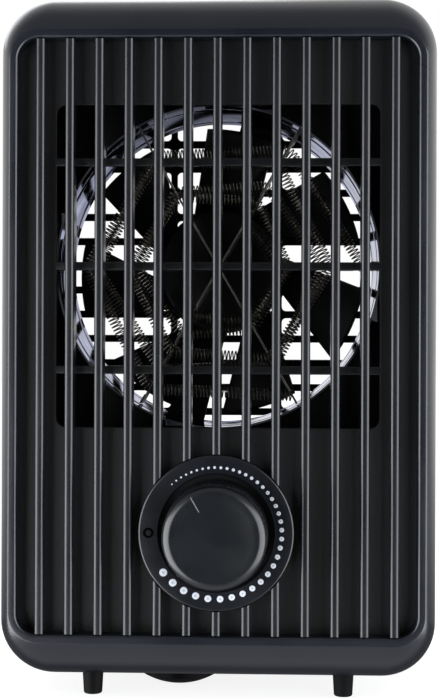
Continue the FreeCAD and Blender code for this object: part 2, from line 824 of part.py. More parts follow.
def make_mica_strip(label, spoke, laps):
    """Strip across the duct that holds two spokes: notched for the coils, slotted at the middle."""
    body = new_body(label)
    place_turned(body, 60 * spoke, at_depth(mica_front), duct_z)
    half_notch = s.coil_radius + s.coil_wire / 2 + s.coil_room
    edges = {}
    for name, (first, way, sink) in COILS.items():
        spots = [(radius - bend_inset) * (1 if number == spoke else -1)
                 for number, radius in coil_spokes(first, way) if number % 3 == spoke]
        cut = s.coil_sink + s.coil_radius + s.coil_wire / 2 + s.fit_gap
        edges[name] = [(spot, half_notch, cut) for spot in spots]
    front, rear = edges["heating_coil_front"], edges["heating_coil_rear"]
    front_lap, rear_lap = (s.mica_depth * lap / 3 for lap in laps)
    if laps[0]:
        front.append((sized(0), s.mica_slot / 2, front_lap))
    if laps[1]:
        rear.append((sized(0), s.mica_slot / 2, rear_lap))
    end = s.duct_radius - s.mica_gap
    points = [(-end, 0)]
    for spot, half, cut in sorted(front, key=lambda notch: notch[0].value):
        points += [(spot - half, 0), (spot - half, cut), (spot + half, cut), (spot + half, 0)]
    points += [(end, 0), (end, s.mica_depth)]
    for spot, half, cut in sorted(rear, key=lambda notch: -notch[0].value):
        deep = s.mica_depth - cut
        points += [(spot + half, s.mica_depth), (spot + half, deep),
                   (spot - half, deep), (spot - half, s.mica_depth)]
    points.append((-end, s.mica_depth))
    sketch = new_sketch(body, "strip", "XY_Plane", (0, 0, -s.mica_thick / 2))
    outline(sketch, points)
    feature(body, "Pad", sketch, s.mica_thick)
    return body


def rounded_route(corners, radius):
    """Length and a function from the distance along to (point, direction), corners turned by arcs."""
    pieces = []
    start = corners[0]
    for before, corner, after in zip(corners, corners[1:], corners[2:]):
        a, b = (corner - before).normalize(), (after - corner).normalize()
        turn = a.getAngle(b)
        cut = radius * math.tan(turn / 2)
        first, last = corner - a * cut, corner + b * cut
        side = (b - a * a.dot(b)).normalize()
        pieces.append(("line", start, a, (first - start).Length))
        pieces.append(("arc", first + side * radius, a, -side, turn, radius * turn))
        start = last
    pieces.append(("line", start, (corners[-1] - start).normalize(), (corners[-1] - start).Length))

    def spot(distance):
        for piece in pieces:
            if distance <= piece[-1] or piece is pieces[-1]:
                if piece[0] == "line":
                    return piece[1] + piece[2] * distance, piece[2]
                angle = distance / radius
                centre, ahead, out = piece[1:4]
                point = centre + (out * math.cos(angle) + ahead * math.sin(angle)) * radius
                return point, ahead * math.cos(angle) - out * math.sin(angle)
            distance -= piece[-1]

    return sum(piece[-1] for piece in pieces), spot


def biarc(start, way_in, end, way_out):
    """Two arcs that leave start along way_in and reach end along way_out, meeting smoothly."""
    span = end - start
    both = way_in + way_out
    slack = 2 * (1 - way_in.dot(way_out))
    reach = (-span.dot(both) + math.sqrt(span.dot(both) ** 2 + slack * span.dot(span))) / slack
    first, last = start + way_in * reach, end - way_out * reach
    middle = (first + last) * 0.5
    arcs = []
    for a, corner, b in ((start, first, middle), (middle, last, end)):
        weight = (b - a).Length / 2 / reach
        arcs.append(Part.Arc(a, (a + corner * (2 * weight) + b) * (1 / (2 + 2 * weight)), b))
    return arcs


def make_coil(label, first, way, sink):
    """Resistance wire wound as a helix along a hexagonal spiral over the mica spokes."""
    depth = at_depth(mica_front + sink).value
    radius, wire = s.coil_radius.value, s.coil_wire.value
    corners = []
    for number, reach in coil_spokes(first, way):
        angle = math.radians(60 * number)
        corners.append(Vector(reach.value * math.cos(angle), depth,
                              duct_z.value + reach.value * math.sin(angle)))
    tail = 2 * wire
    corners[0] += (corners[0] - corners[1]).normalize() * tail
    corners[-1] += (corners[-1] - corners[-2]).normalize() * tail
    length, spot = rounded_route(corners, s.coil_bend.value)
    back = Vector(0, 1, 0)
    quarters = 4 * int(s.coil_curls.value)

    def wire_point(turn):
        point, ahead = spot(wire + (length - 2 * wire) * turn / quarters)
        side = ahead.cross(back)
        phase = math.pi / 2 * turn
        return point + (side * math.cos(phase) + back * math.sin(phase)) * radius

    step = 0.01
    turns = [wire_point(turn) for turn in range(quarters + 1)]
    ways = [(wire_point(turn + step) - wire_point(turn - step)).normalize() for turn in range(quarters + 1)]
    curves = [Part.LineSegment(turns[0] - ways[0] * wire, turns[0])]
    for index in range(quarters):
        curves += biarc(turns[index], ways[index], turns[index + 1], ways[index + 1])
    curves.append(Part.LineSegment(turns[-1], turns[-1] + ways[-1] * wire))
    spine = Part.Wire([curve.toShape() for curve in curves])
    section = Part.Wire(Part.makeCircle(wire / 2, turns[0] - ways[0] * wire, ways[0]))
    shell = Part.BRepOffsetAPI.MakePipeShell(spine)
    shell.add(section)
    shell.build()
    shell.makeSolid()
    coil = doc.addObject("Part::Feature", label)
    coil.Shape = shell.shape()
    measure_gap(label, [wire_point(turn / 3) for turn in range(3 * quarters + 1)], wire)
    return coil


def measure_gap(label, points, wire):
    """Print the least gap of a wound tube to itself, between points over half a turn apart."""
    least = min((points[i] - points[j]).Length for i in range(len(points))
                for j in range(i + 7, min(i + 60, len(points))))
    print(f"{label}: least gap to itself {least - wire:.2f} mm")


# Fan and motor


def blade_section(radius, chord, pitch):
    """Closed outline of a cambered blade at a radius up the Z axis."""
    along = Vector(math.cos(pitch), math.sin(pitch), 0)
    across = Vector(-math.sin(pitch), math.cos(pitch), 0)
    centre = Vector(0, 0, radius)
    half_thick, camber = s.blade_thick.value / 2, s.blade_camber.value

    def point(u, v):
        return centre + along * u + across * v

    left, right = -chord / 2, chord / 2
    upper = Part.Arc(point(left, half_thick), point(0, camber + half_thick), point(right, half_thick))
    lower = Part.Arc(point(right, -half_thick), point(0, camber - half_thick), point(left, -half_thick))
    tip = Part.LineSegment(point(right, half_thick), point(right, -half_thick))
    tail = Part.LineSegment(point(left, -half_thick), point(left, half_thick))
    return Part.Wire([curve.toShape() for curve in (upper, tip, lower, tail)])


def make_fan():
    """Axial fan: hub cup with a boss on the motor's axle, and swept blades trimmed to the tip circle."""
    back = Vector(0, 1, 0)
    centre = Vector(0, 0, 0)
    depth, hub = s.fan_depth.value, s.hub_radius.value
    root = blade_section(hub - s.hub_wall.value, s.blade_root_chord.value,
                         math.radians(s.blade_root_pitch.value))
    tip = blade_section(s.fan_radius.value + s.hub_wall.value, s.blade_tip_chord.value,
                        math.radians(s.blade_tip_pitch.value))
    tip.rotate(centre, back, s.blade_sweep.value)
    blade = Part.makeLoft([root, tip], True, False)
    trim = Part.makeCylinder(s.fan_radius.value, 4 * depth, Vector(0, -2 * depth, 0), back)
    blade = blade.common(trim)
    cup = Part.makeCylinder(hub, depth, Vector(0, -depth / 2, 0), back)
    face = [edge for edge in cup.Edges if abs(edge.BoundBox.YMax + depth / 2) < 1e-6]
    cup = cup.makeFillet(s.hub_wall.value, face)
    inside = Vector(0, -depth / 2 + s.hub_wall.value, 0)
    room = Part.makeCylinder(hub - s.hub_wall.value, depth, inside, back)
    boss = Part.makeCylinder(s.hub_boss_radius.value, depth, Vector(0, -depth / 2, 0), back)
    bore = Part.makeCylinder(s.axle_radius.value + s.thread_gap.value, depth, inside, back)
    shape = cup.cut(room)
    count = int(s.fan_blades.value)
    inner = Part.makeCylinder(hub - s.hub_wall.value / 2, 4 * depth, Vector(0, -2 * depth, 0), back)
    blade = blade.cut(inner)
    for index in range(count):
        turned_blade = blade.copy()
        turned_blade.rotate(centre, back, s.blade_phase.value + 360 / count * index)
        shape = shape.fuse(turned_blade)
    shape = shape.fuse(boss.common(cup)).cut(bore)
    fan = doc.addObject("Part::Feature", "fan")
    fan.Shape = shape
    middle = at_depth(fan_front + s.fan_depth / 2)
    fan.Placement = Placement(Vector(0, middle.value, duct_z.value), Rotation())
    return fan


def make_motor():
    """Small permanent-magnet motor behind the strap: can, cap, magnets, rotor, axle and two bushes."""
    axis = (0, front_y, duct_z)
    bush_hole = s.motor_bush_radius + s.thread_gap
    running = s.axle_radius + s.axle_fit
    nose = s.motor_bush_length
    can = turned("motor_can", "Y", axis, [
        (strap_back, bush_hole), (strap_back, s.motor_radius), (cap_front, s.motor_radius),
        (cap_front, motor_inner), (strap_back + 2 * s.motor_sheet, motor_inner),
        (strap_back + 2 * s.motor_sheet, bush_hole),
    ])
    pilots = front_sketch(can, "pilots", strap_back)
    for x, z in MOTOR_SCREWS:
        circle(pilots, screw_pilot, x, z)
    pocket_back(can, pilots, 2 * s.motor_sheet)
    cap = turned("motor_end_cap", "Y", axis, [
        (cap_front, bush_hole), (cap_front, s.motor_radius),
        (cap_back, s.motor_radius), (cap_back, bush_hole),
    ])
    bushes = []
    for label, start in (("motor_front_bush", strap_back), ("motor_rear_bush", cap_back - nose)):
        bushes.append(turned(label, "Y", axis, [
            (start, running), (start, s.motor_bush_radius),
            (start + nose, s.motor_bush_radius), (start + nose, running),
        ]))
    rotor_back = rotor_front + s.rotor_length
    grip = s.axle_radius + s.thread_gap
    rotor = turned("motor_rotor", "Y", axis, [
        (rotor_front, grip), (rotor_front, s.rotor_radius), (rotor_back, s.rotor_radius),
        (rotor_back, s.commutator_radius), (rotor_back + s.commutator_length, s.commutator_radius),
        (rotor_back + s.commutator_length, grip),
    ])
    axle_front = fan_front + s.hub_wall + s.thread_gap
    axle = cylinder("motor_shaft", s.axle_radius, cap_back + s.axle_overhang - axle_front,
                    0, at_depth(axle_front), duct_z)
    return [can, cap, rotor, axle, make_magnets()] + bushes


def make_magnets():
    """Two curved magnets inside the can."""
    arcs = []
    inner, outer = s.rotor_radius + s.magnet_gap, motor_inner - s.thread_gap
    for index, side in enumerate(HALVES):
        rings = []
        for name, radius in (("outer", outer), ("inner", inner)):
            ring = cylinder(f"magnet_{name}_{index}", radius, s.rotor_length,
                            0, at_depth(rotor_front), duct_z)
            bind(ring, "Angle", s.magnet_angle)
            upright = Rotation(Vector(1, 0, 0), -90)
            spin = Rotation(Vector(0, 1, 0), side)
            ring.Placement = Placement(ring.Placement.Base, spin.multiply(upright))
            rings.append(ring)
        magnet = doc.addObject("Part::Cut", f"magnet_{index}")
        magnet.Base, magnet.Tool = rings
        arcs.append(magnet)
    group = doc.addObject("Part::Compound", "motor_magnets")
    group.Label = "motor_magnets"
    group.Links = arcs
    return group


def strap_body(label):
    """A body whose own x runs along the strap, with the origin on the duct's axis at the front plane."""
    body = new_body(label)
    place_turned(body, s.strap_angle, front_y, duct_z)
    return body


def make_strap():
    """Strap across the rear of the duct that carries the motor, with the cut-out and fuse on it."""
    body = strap_body("motor_bracket")
    plate = new_sketch(body, "plate", "XZ_Plane", (0, 0, -duct_back))
    rectangle(plate, 0, 0, 2 * (tab_radius + s.tab_reach), s.strap_width)
    pad_back(body, plate, s.strap_thick)
    hub = new_sketch(body, "hub", "XZ_Plane", (0, 0, -duct_back))
    circle(hub, s.strap_hub)
    pad_back(body, hub, s.strap_thick)
    holes = new_sketch(body, "holes", "XZ_Plane", (0, 0, -duct_back))
    circle(holes, s.motor_bush_radius)
    for side in (-1, 1):
        circle(holes, screw_hole, side * tab_radius, 0)
        circle(holes, screw_hole, side * s.motor_screw_pitch / 2, 0)
    pocket_back(body, holes, s.strap_thick)
    cutout = strap_body("thermal_cutout")
    disc = new_sketch(cutout, "disc", "XZ_Plane", (0, 0, -strap_back))
    circle(disc, s.cutout_radius, -s.guard_part_radius, 0)
    pad_back(cutout, disc, s.cutout_height)
    fuse = strap_body("thermal_fuse")
    sleeve = new_sketch(fuse, "sleeve", "XZ_Plane", (0, 0, -strap_back))
    rectangle(sleeve, s.guard_part_radius, 0, s.fuse_width, s.fuse_length)
    pad_back(fuse, sleeve, s.fuse_height)
    return [body, cutout, fuse]


# Tip-over switch, cord inlet and wiring


def make_tip_switch():
    """Domed plunger on the floor, its spring, the guide arch over it and the switch on the arch."""
    dome_height = s.tip_dome - root(s.tip_dome * s.tip_dome - s.tip_radius * s.tip_radius)
    flange = s.tip_radius + s.tip_flange
    plunger = turned("tip_plunger", "Z", (s.tip_x, tip_y, 0), [
        (0, 0), (s.tip_radius, dome_height, s.tip_dome, 1), (s.tip_radius, plunger_flange),
        (flange, plunger_flange), (flange, spring_foot), (s.tip_stem_radius, spring_foot),
        (s.tip_stem_radius, guide_top + s.tip_stem_top), (0, guide_top + s.tip_stem_top),
    ])
    spring = turned("tip_spring", "Z", (s.tip_x, tip_y, 0), [
        (s.tip_stem_radius + s.fit_gap, spring_foot), (s.tip_spring_radius, spring_foot),
        (s.tip_spring_radius, guide_under), (s.tip_stem_radius + s.fit_gap, guide_under),
    ])
    guide = new_body("tip_guide")
    outer = guide_inside + s.guide_thick
    ledge = outer + s.guide_foot
    foot_top = floor_z + s.guide_thick
    arch = new_sketch(guide, "arch", "XZ_Plane", (s.tip_x, 0, -(tip_y - s.guide_width / 2)))
    outline(arch, [
        (-ledge, floor_z), (-guide_inside, floor_z),
        (-guide_inside, guide_under), (guide_inside, guide_under),
        (guide_inside, floor_z), (ledge, floor_z), (ledge, foot_top), (outer, foot_top), (outer, guide_top),
        (-outer, guide_top), (-outer, foot_top), (-ledge, foot_top),
    ])
    pad_back(guide, arch, s.guide_width)
    hole = floor_sketch(guide, "stem_hole", guide_top, x=s.tip_x, y=tip_y)
    circle(hole, s.tip_stem_radius + s.fit_gap)
    pocket_back(guide, hole, s.guide_thick)
    switch = new_body("tip_switch")
    switch_x = s.tip_x + s.tip_stem_radius + s.tip_gap + s.switch_width / 2
    case = floor_sketch(switch, "case", guide_top, x=switch_x, y=tip_y)
    rounded(case, s.switch_width, s.switch_length, s.guide_thick / 2)
    feature(switch, "Pad", case, s.switch_height)
    return [plunger, spring, guide, switch]


def make_cord_gland():
    """Bush in the rear cover that the supply cord would pass through: flange inside, end flush."""
    return turned("cord_gland", "Y", (s.gland_x, front_y, s.gland_z), [
        (cover_inside - s.gland_flange, s.gland_bore),
        (cover_inside - s.gland_flange, s.gland_flange_radius),
        (cover_inside, s.gland_flange_radius), (cover_inside, s.gland_radius),
        (s.body_depth, s.gland_radius), (s.body_depth, s.gland_bore),
    ])


def make_terminal_block():
    """Three-way terminal block on the floor of the case, in front of the cord gland."""
    body = new_body("terminal_block")
    back = split_depth - s.block_gap
    start = front_sketch(body, "block", back - s.block_width, x=s.gland_x, z=floor_z + s.block_height / 2)
    rounded(start, s.block_length, s.block_height, s.wall / 2)
    pad_back(body, start, s.block_width)
    bores = front_sketch(body, "bores", back - s.block_width, x=s.gland_x, z=floor_z + s.block_height / 3)
    for way in (-1, 0, 1):
        circle(bores, s.block_hole, way * s.block_pitch, 0)
    pocket_back(body, bores, s.block_width)
    middle = at_depth(back - s.block_width / 2)
    wells = floor_sketch(body, "wells", floor_z + s.block_height, x=s.gland_x, y=middle)
    for way in (-1, 0, 1):
        circle(wells, s.block_hole, way * s.block_pitch, 0)
    pocket_back(body, wells, s.block_height / 3)
    return body


parts = [make_housing(), make_front_grille(), make_rear_cover(), make_dial_plate(), make_knob()]
parts += make_thermostat()
parts += [make_duct_ring(), make_shroud()]
for strip, (spoke, laps) in {"mica_strip_level": (0, (0, 2)), "mica_strip_right": (1, (1, 1)),
                             "mica_strip_left": (2, (2, 0))}.items():
    parts.append(make_mica_strip(strip, spoke, laps))
for coil_label, (first_spoke, coil_way, coil_sink) in COILS.items():
    parts.append(make_coil(coil_label, first_spoke, coil_way, coil_sink))
parts.append(make_fan())
parts += make_motor()
parts += make_strap()
parts += make_tip_switch()
parts += [make_cord_gland(), make_terminal_block()]
for end, foot_depth in (("front", s.foot_front), ("rear", rear_foot)):
    for side, foot_side in (("left", -s.foot_x), ("right", s.foot_x)):
        parts.append(make_foot(f"foot_{end}_{side}", foot_side, foot_depth))
parts.append(screws("grille_screws", GRILLE_SCREWS, panel_back,
                    s.panel_thick + s.screw_bite - s.fit_gap, "-Y"))
parts.append(screws("duct_screws", DUCT_SCREWS, tab_front + s.duct_sheet, s.duct_boss_height, "-Y"))
parts.append(screws("strap_screws", STRAP_SCREWS, strap_back, s.screw_bite, "-Y"))
parts.append(screws("motor_screws", MOTOR_SCREWS, duct_back, s.strap_thick + 2 * s.motor_sheet, "Y"))
parts.append(screws("rear_cover_screws", POSTS, split_depth + s.cover_screw_seat,
                    s.cover_screw_seat + s.cover_screw_bite - s.fit_gap, "-Y"))
doc.recompute()

# Nothing is written unless every object is sound, every cut removed something and every part is solid.
for thing in doc.Objects:
    if "Invalid" in thing.State or "Error" in thing.State:
        raise RuntimeError(f"{thing.Label} failed: {thing.State}")
    if thing.isDerivedFrom("PartDesign::Pocket"):
        removed = thing.BaseFeature.Shape.Volume - thing.Shape.Volume
        if removed < 0.1:
            raise RuntimeError(f"{thing.Label} cuts nothing")
for part in parts:
    if part.Shape.isNull() or not part.Shape.isValid() or not part.Shape.Solids:
        raise RuntimeError(f"{part.Label} is not a sound solid")

os.makedirs("parts", exist_ok=True)
for part in parts:
    part.Shape.exportStep(os.path.join("parts", f"{part.Label}.step"))
    print(f"{part.Label}: {len(part.Shape.Solids)} solids, {part.Shape.Volume / 1000:.2f} cm3")
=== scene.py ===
# %% [markdown]
# # A small upright fan heater
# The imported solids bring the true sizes, places and moving bodies. This lesson dresses them: it sets up
# a small white studio, mixes a finish for each material, and then works out the shells, grille, dial,
# knob, element, fan and small parts as surfaces on grids of points. Each goes where its solid is.

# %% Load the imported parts
import math

import bmesh
import bpy
import numpy as np
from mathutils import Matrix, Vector


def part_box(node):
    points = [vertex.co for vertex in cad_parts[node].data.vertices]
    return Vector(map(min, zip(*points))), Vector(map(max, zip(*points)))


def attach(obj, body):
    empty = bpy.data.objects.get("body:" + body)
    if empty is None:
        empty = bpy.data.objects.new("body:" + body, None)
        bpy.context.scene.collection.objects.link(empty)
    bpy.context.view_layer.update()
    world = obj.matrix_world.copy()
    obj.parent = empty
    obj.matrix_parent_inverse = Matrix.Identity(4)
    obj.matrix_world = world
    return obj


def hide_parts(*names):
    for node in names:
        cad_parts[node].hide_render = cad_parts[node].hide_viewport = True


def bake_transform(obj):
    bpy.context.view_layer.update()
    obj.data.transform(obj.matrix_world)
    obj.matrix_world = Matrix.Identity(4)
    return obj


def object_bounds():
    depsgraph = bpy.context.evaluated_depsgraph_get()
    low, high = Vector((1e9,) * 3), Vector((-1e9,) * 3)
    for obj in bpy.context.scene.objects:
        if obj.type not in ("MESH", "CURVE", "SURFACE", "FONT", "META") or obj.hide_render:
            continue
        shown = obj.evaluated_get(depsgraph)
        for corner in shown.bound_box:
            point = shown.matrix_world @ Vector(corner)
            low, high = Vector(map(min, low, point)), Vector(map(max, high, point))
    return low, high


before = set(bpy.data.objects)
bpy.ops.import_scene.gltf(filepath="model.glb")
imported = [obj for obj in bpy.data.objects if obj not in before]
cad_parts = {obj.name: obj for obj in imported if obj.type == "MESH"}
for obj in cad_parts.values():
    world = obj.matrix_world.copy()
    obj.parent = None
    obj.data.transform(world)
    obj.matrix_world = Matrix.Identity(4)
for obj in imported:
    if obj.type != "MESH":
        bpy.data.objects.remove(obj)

cad_low, cad_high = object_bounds()
cad_size = [round(high - low, 4) for low, high in zip(cad_low, cad_high)]
print("packed parts:", len(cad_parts), "size in m:", cad_size)

# %% [markdown]
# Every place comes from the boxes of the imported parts. Places could be typed in again, but then they
# would drift from the solids with the first change. The front plane, where the lip and the ribs end, is
# the one that depths are counted from.

# %% Places taken from the parts
MM = 0.001
TURN = 2 * np.pi


def span(node):
    """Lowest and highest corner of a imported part, as arrays in metres."""
    low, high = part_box(node)
    return np.array(low), np.array(high)


def middle(node):
    """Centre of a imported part's box."""
    low, high = span(node)
    return (low + high) / 2


case_low, case_high = span("housing")
body_wide, body_deep, body_high = case_high - case_low
front_y, base_z = case_low[1], case_low[2]
mid_z = (case_low[2] + case_high[2]) / 2
duct_z = middle("motor_can")[2]
knob_z = middle("dial_plate")[2]
print("front plane y", round(front_y, 4))
print("duct axis z", round(duct_z, 4), "knob axis z", round(knob_z, 4))

# %% [markdown]
# The camera stands a little to the right of the heater and leans by a hair, as a hand-set tripod does. A
# short lens from close by would let the knob bulge towards us, and a long one keeps the case nearly
# square on. The picture is upright, so the sensor lies along its height.

# %% Camera
camera_distance = 620 * MM
camera_yaw = math.radians(2.2)
camera_lean = math.radians(-0.2)
lens_mm = 79.15
aim_right, aim_drop = 1.4 * MM, 4.9 * MM
aim = np.array([aim_right, front_y, mid_z - aim_drop])

camera_data = bpy.data.cameras.new("camera")
camera_data.lens = lens_mm
camera = bpy.data.objects.new("camera", camera_data)
camera.location = aim + camera_distance * np.array([math.sin(camera_yaw), -math.cos(camera_yaw), 0])
camera.rotation_euler = (math.pi / 2, camera_lean, camera_yaw)
scene = bpy.context.scene
scene.collection.objects.link(camera)
scene.camera = camera
scene.view_settings.view_transform = "Standard"
print("camera at", [round(v, 3) for v in camera.location])

# %% [markdown]
# A white studio makes black plastic hard to read, because everything it mirrors is white. Black cards
# could stand round the heater, but they would show from other sides. So the room is white to the eye,
# but what the object mirrors is darkest straight ahead, where the camera stands, grey round about, and
# white only behind, down to the shadow on the table.

# %% Room light
room_seen = 1.0
felt_ahead, felt_below, felt_above = 0.05, 0.85, 0.45
felt_behind, felt_under = 1.0, 0.12
# Bands of a direction's Y (ahead, behind) or Z (height, table) over which the light changes.
ahead_band, behind_band = (-0.98, -0.6), (0.0, 0.4)
height_band, table_band = (-0.6, 0.6), (-0.2, -0.02)


def node(tree, kind, **settings):
    """A new shader node with its settings."""
    made = tree.nodes.new(f"ShaderNode{kind}")
    for name, value in settings.items():
        setattr(made, name, value)
    return made


def ranged(tree, value, source, target, smooth=False):
    """The value's range from source low to high, spread over target low to high."""
    spread = node(tree, "MapRange", interpolation_type="SMOOTHSTEP" if smooth else "LINEAR")
    spread.inputs["From Min"].default_value, spread.inputs["From Max"].default_value = source
    spread.inputs["To Min"].default_value, spread.inputs["To Max"].default_value = target
    tree.links.new(value, spread.inputs["Value"])
    return spread


world = bpy.data.worlds.new("white_room")
world.use_nodes = True
room = world.node_tree
sky = room.nodes["Background"]
sky.inputs["Color"].default_value = (1, 1, 1, 1)
direction = node(room, "SeparateXYZ")
room.links.new(node(room, "TexCoord").outputs["Generated"], direction.inputs[0])
around = ranged(room, direction.outputs["Z"], height_band, (felt_below, felt_above), smooth=True)
front = ranged(room, direction.outputs["Y"], ahead_band, (felt_ahead, 1), smooth=True)
room.links.new(around.outputs["Result"], front.inputs["To Max"])
backdrop = ranged(room, direction.outputs["Z"], table_band, (felt_under, felt_behind), smooth=True)
felt = ranged(room, direction.outputs["Y"], behind_band, (0, 1), smooth=True)
room.links.new(front.outputs["Result"], felt.inputs["To Min"])
room.links.new(backdrop.outputs["Result"], felt.inputs["To Max"])
glow = ranged(room, node(room, "LightPath").outputs["Is Camera Ray"], (0, 1), (0, room_seen))
room.links.new(felt.outputs["Result"], glow.inputs["To Min"])
room.links.new(glow.outputs["Result"], sky.inputs["Strength"])
scene.world = world
print("light felt from ahead, below, above and behind:", felt_ahead, felt_below, felt_above, felt_behind)

# %% [markdown]
# The bright lines along ribs, dial and knob are mirror images of lamps. Small lamps would draw hard dots,
# so two wide soft boxes stand one on either side, and a small one behind lights the back.

# %% Soft boxes
box_tint, box_distance = (0.93, 0.96, 1.0), 1.2


def soft_box(name, azimuth, elevation, wide, high, radiance):
    """Rectangular light whose power is radiance * pi * area, aimed at the heater from an azimuth (0 in
    front, 90 at its right) and an elevation, in degrees."""
    turn, rise = math.radians(azimuth), math.radians(elevation)
    away = Vector((math.sin(turn) * math.cos(rise), -math.cos(turn) * math.cos(rise), math.sin(rise)))
    light = bpy.data.lights.new(name, "AREA")
    light.shape = "RECTANGLE"
    light.size, light.size_y = wide, high
    light.energy = radiance * math.pi * wide * high
    light.color = box_tint
    box = bpy.data.objects.new(name, light)
    box.location = Vector((0, 0, mid_z)) + away * box_distance
    box.rotation_euler = (-away).to_track_quat("-Z", "Y").to_euler()
    box.visible_camera = False
    scene.collection.objects.link(box)
    return box


studio = [soft_box("left_box", azimuth=-60, elevation=-14, wide=1.8, high=1.4, radiance=6.5),
          soft_box("right_box", azimuth=60, elevation=-6, wide=1.8, high=1.5, radiance=5.2),
          soft_box("rear_box", azimuth=205, elevation=35, wide=0.9, high=0.6, radiance=2.0)]
print("soft boxes:", [box.name for box in studio])

# %% [markdown]
# An effect that several finishes share is a node group, built once, with its sizes as inputs. It could be
# copied into every material, but then each change would have to be made many times. The moulded grain
# is the fine spark-eroded skin of black plastic, with a slow haze from handling and a little dust on
# faces that look up.

# %% Moulded grain
# Bands of noise, or of the normal's Z, that are spread over a mask.
haze_band, dust_band, upward_band = (0.35, 0.68), (0.3, 0.7), (0.55, 1.0)


def new_group(name, inputs, outputs):
    """An empty shader group with named number inputs and outputs."""
    group = bpy.data.node_groups.new(name, "ShaderNodeTree")
    for label, value in inputs.items():
        socket = group.interface.new_socket(name=label, in_out="INPUT", socket_type="NodeSocketFloat")
        socket.default_value = value
    for label in outputs:
        group.interface.new_socket(name=label, in_out="OUTPUT", socket_type="NodeSocketFloat")
    return group, group.nodes.new("NodeGroupInput"), group.nodes.new("NodeGroupOutput")


def noise(tree, size, detail, stretch=(1, 1, 1)):
    """Noise in the object's own metres, whose scale is one over a size socket, stretched per axis."""
    place = node(tree, "TexCoord")
    pull = node(tree, "Mapping")
    pull.inputs["Scale"].default_value = stretch
    tree.links.new(place.outputs["Object"], pull.inputs["Vector"])
    scale = node(tree, "Math", operation="DIVIDE")
    scale.inputs[0].default_value = 1.0
    tree.links.new(size, scale.inputs[1])
    clouds = node(tree, "TexNoise")
    clouds.inputs["Detail"].default_value = detail
    tree.links.new(pull.outputs["Vector"], clouds.inputs["Vector"])
    tree.links.new(scale.outputs[0], clouds.inputs["Scale"])
    return clouds.outputs[0]


def stretched(tree, value, band):
    """The value's range over a band (low, high), spread over 0 to 1."""
    return ranged(tree, value, band, (0, 1)).outputs["Result"]


def moulded_grain():
    """Fine grain for the bump, slow haze for the mask, and dust that lies on faces looking up."""
    group, given, out = new_group("moulded_grain", {"Grain Size": 0.6 * MM, "Haze Size": 40 * MM},
                                  ("Mask", "Height", "Dust"))
    group.links.new(noise(group, given.outputs["Grain Size"], detail=2.0), out.inputs["Height"])
    haze = noise(group, given.outputs["Haze Size"], detail=4.0)
    group.links.new(stretched(group, haze, haze_band), out.inputs["Mask"])
    surface = node(group, "NewGeometry")
    split = node(group, "SeparateXYZ")
    group.links.new(surface.outputs["Normal"], split.inputs[0])
    settle = node(group, "Math", operation="MULTIPLY", use_clamp=True)
    group.links.new(stretched(group, split.outputs["Z"], upward_band), settle.inputs[0])
    group.links.new(stretched(group, haze, dust_band), settle.inputs[1])
    group.links.new(settle.outputs[0], out.inputs["Dust"])
    return group


GRAIN = moulded_grain()
print("shared effect:", GRAIN.name)

# %% [markdown]
# Metal and mica have no moulded skin. The streaks are the rolling marks of sheet metal, the flakes are
# split mica, and the oxide clouds are the scale on hot wire. Painted pictures would need a flat map of
# every piece, so all three are noise in space, drawn out along an axis or made finer.

# %% Streaks, flakes and oxide
# Bands of noise that are spread over a mask, and how a pattern is squeezed along X, Y and Z.
stain_and_reflection_band, flake_band, patch_band = (0.35, 0.7), (0.3, 0.7), (0.38, 0.62)
streak_stretch, flake_stretch, pit_stretch = (0.15, 1.0, 0.15), (2.0, 2.0, 2.0), (6.0, 6.0, 6.0)


def rolled_streaks():
    """Streaks drawn out along X and Z round a ring, with slow patches: stains on screws and zinc steel,
    and on the duct ring a painted dark reflection.
    """
    group, given, out = new_group("rolled_streaks", {"Streak Size": 1.5 * MM, "Stain And Reflection Size": 25 * MM},
                                  ("Mask", "Height"))
    streaks = noise(group, given.outputs["Streak Size"], detail=3.0, stretch=streak_stretch)
    group.links.new(streaks, out.inputs["Height"])
    stain_and_reflection = noise(group, given.outputs["Stain And Reflection Size"], detail=3.0)
    group.links.new(stretched(group, stain_and_reflection, stain_and_reflection_band), out.inputs["Mask"])
    return group


def split_flakes():
    """Layers of split mica: slow clouds mix the tints, finer ones lift the flakes."""
    group, given, out = new_group("split_flakes", {"Flake Size": 4 * MM}, ("Mask", "Height"))
    clouds = noise(group, given.outputs["Flake Size"], detail=5.0)
    group.links.new(stretched(group, clouds, flake_band), out.inputs["Mask"])
    fine = noise(group, given.outputs["Flake Size"], detail=8.0, stretch=flake_stretch)
    group.links.new(fine, out.inputs["Height"])
    return group


def oxide_clouds():
    """Scale on hot metal: quick patches for the mask, fine pits for the height."""
    group, given, out = new_group("oxide_clouds", {"Patch Size": 3 * MM}, ("Mask", "Height"))
    patches = noise(group, given.outputs["Patch Size"], detail=4.0)
    group.links.new(stretched(group, patches, patch_band), out.inputs["Mask"])
    pits = noise(group, given.outputs["Patch Size"], detail=6.0, stretch=pit_stretch)
    group.links.new(pits, out.inputs["Height"])
    return group


STREAKS, FLAKES, OXIDE = rolled_streaks(), split_flakes(), oxide_clouds()
print("shared effects:", [group.name for group in (STREAKS, FLAKES, OXIDE)])

# %% [markdown]
# A finish is one Principled shader. One flat colour would look like paint on a screen, so the effect
# mixes two near colours and two roughnesses and lifts a shallow bump. Dust, where a finish has any, is a
# thin film over the colour.

# %% How a finish is mixed
DUST_COLOUR = (0.16, 0.155, 0.145, 1.0)
# Sockets of a Mix node that mixes colours.
MIX_SHARE, MIX_FIRST, MIX_SECOND, MIX_RESULT = 0, 6, 7, 2


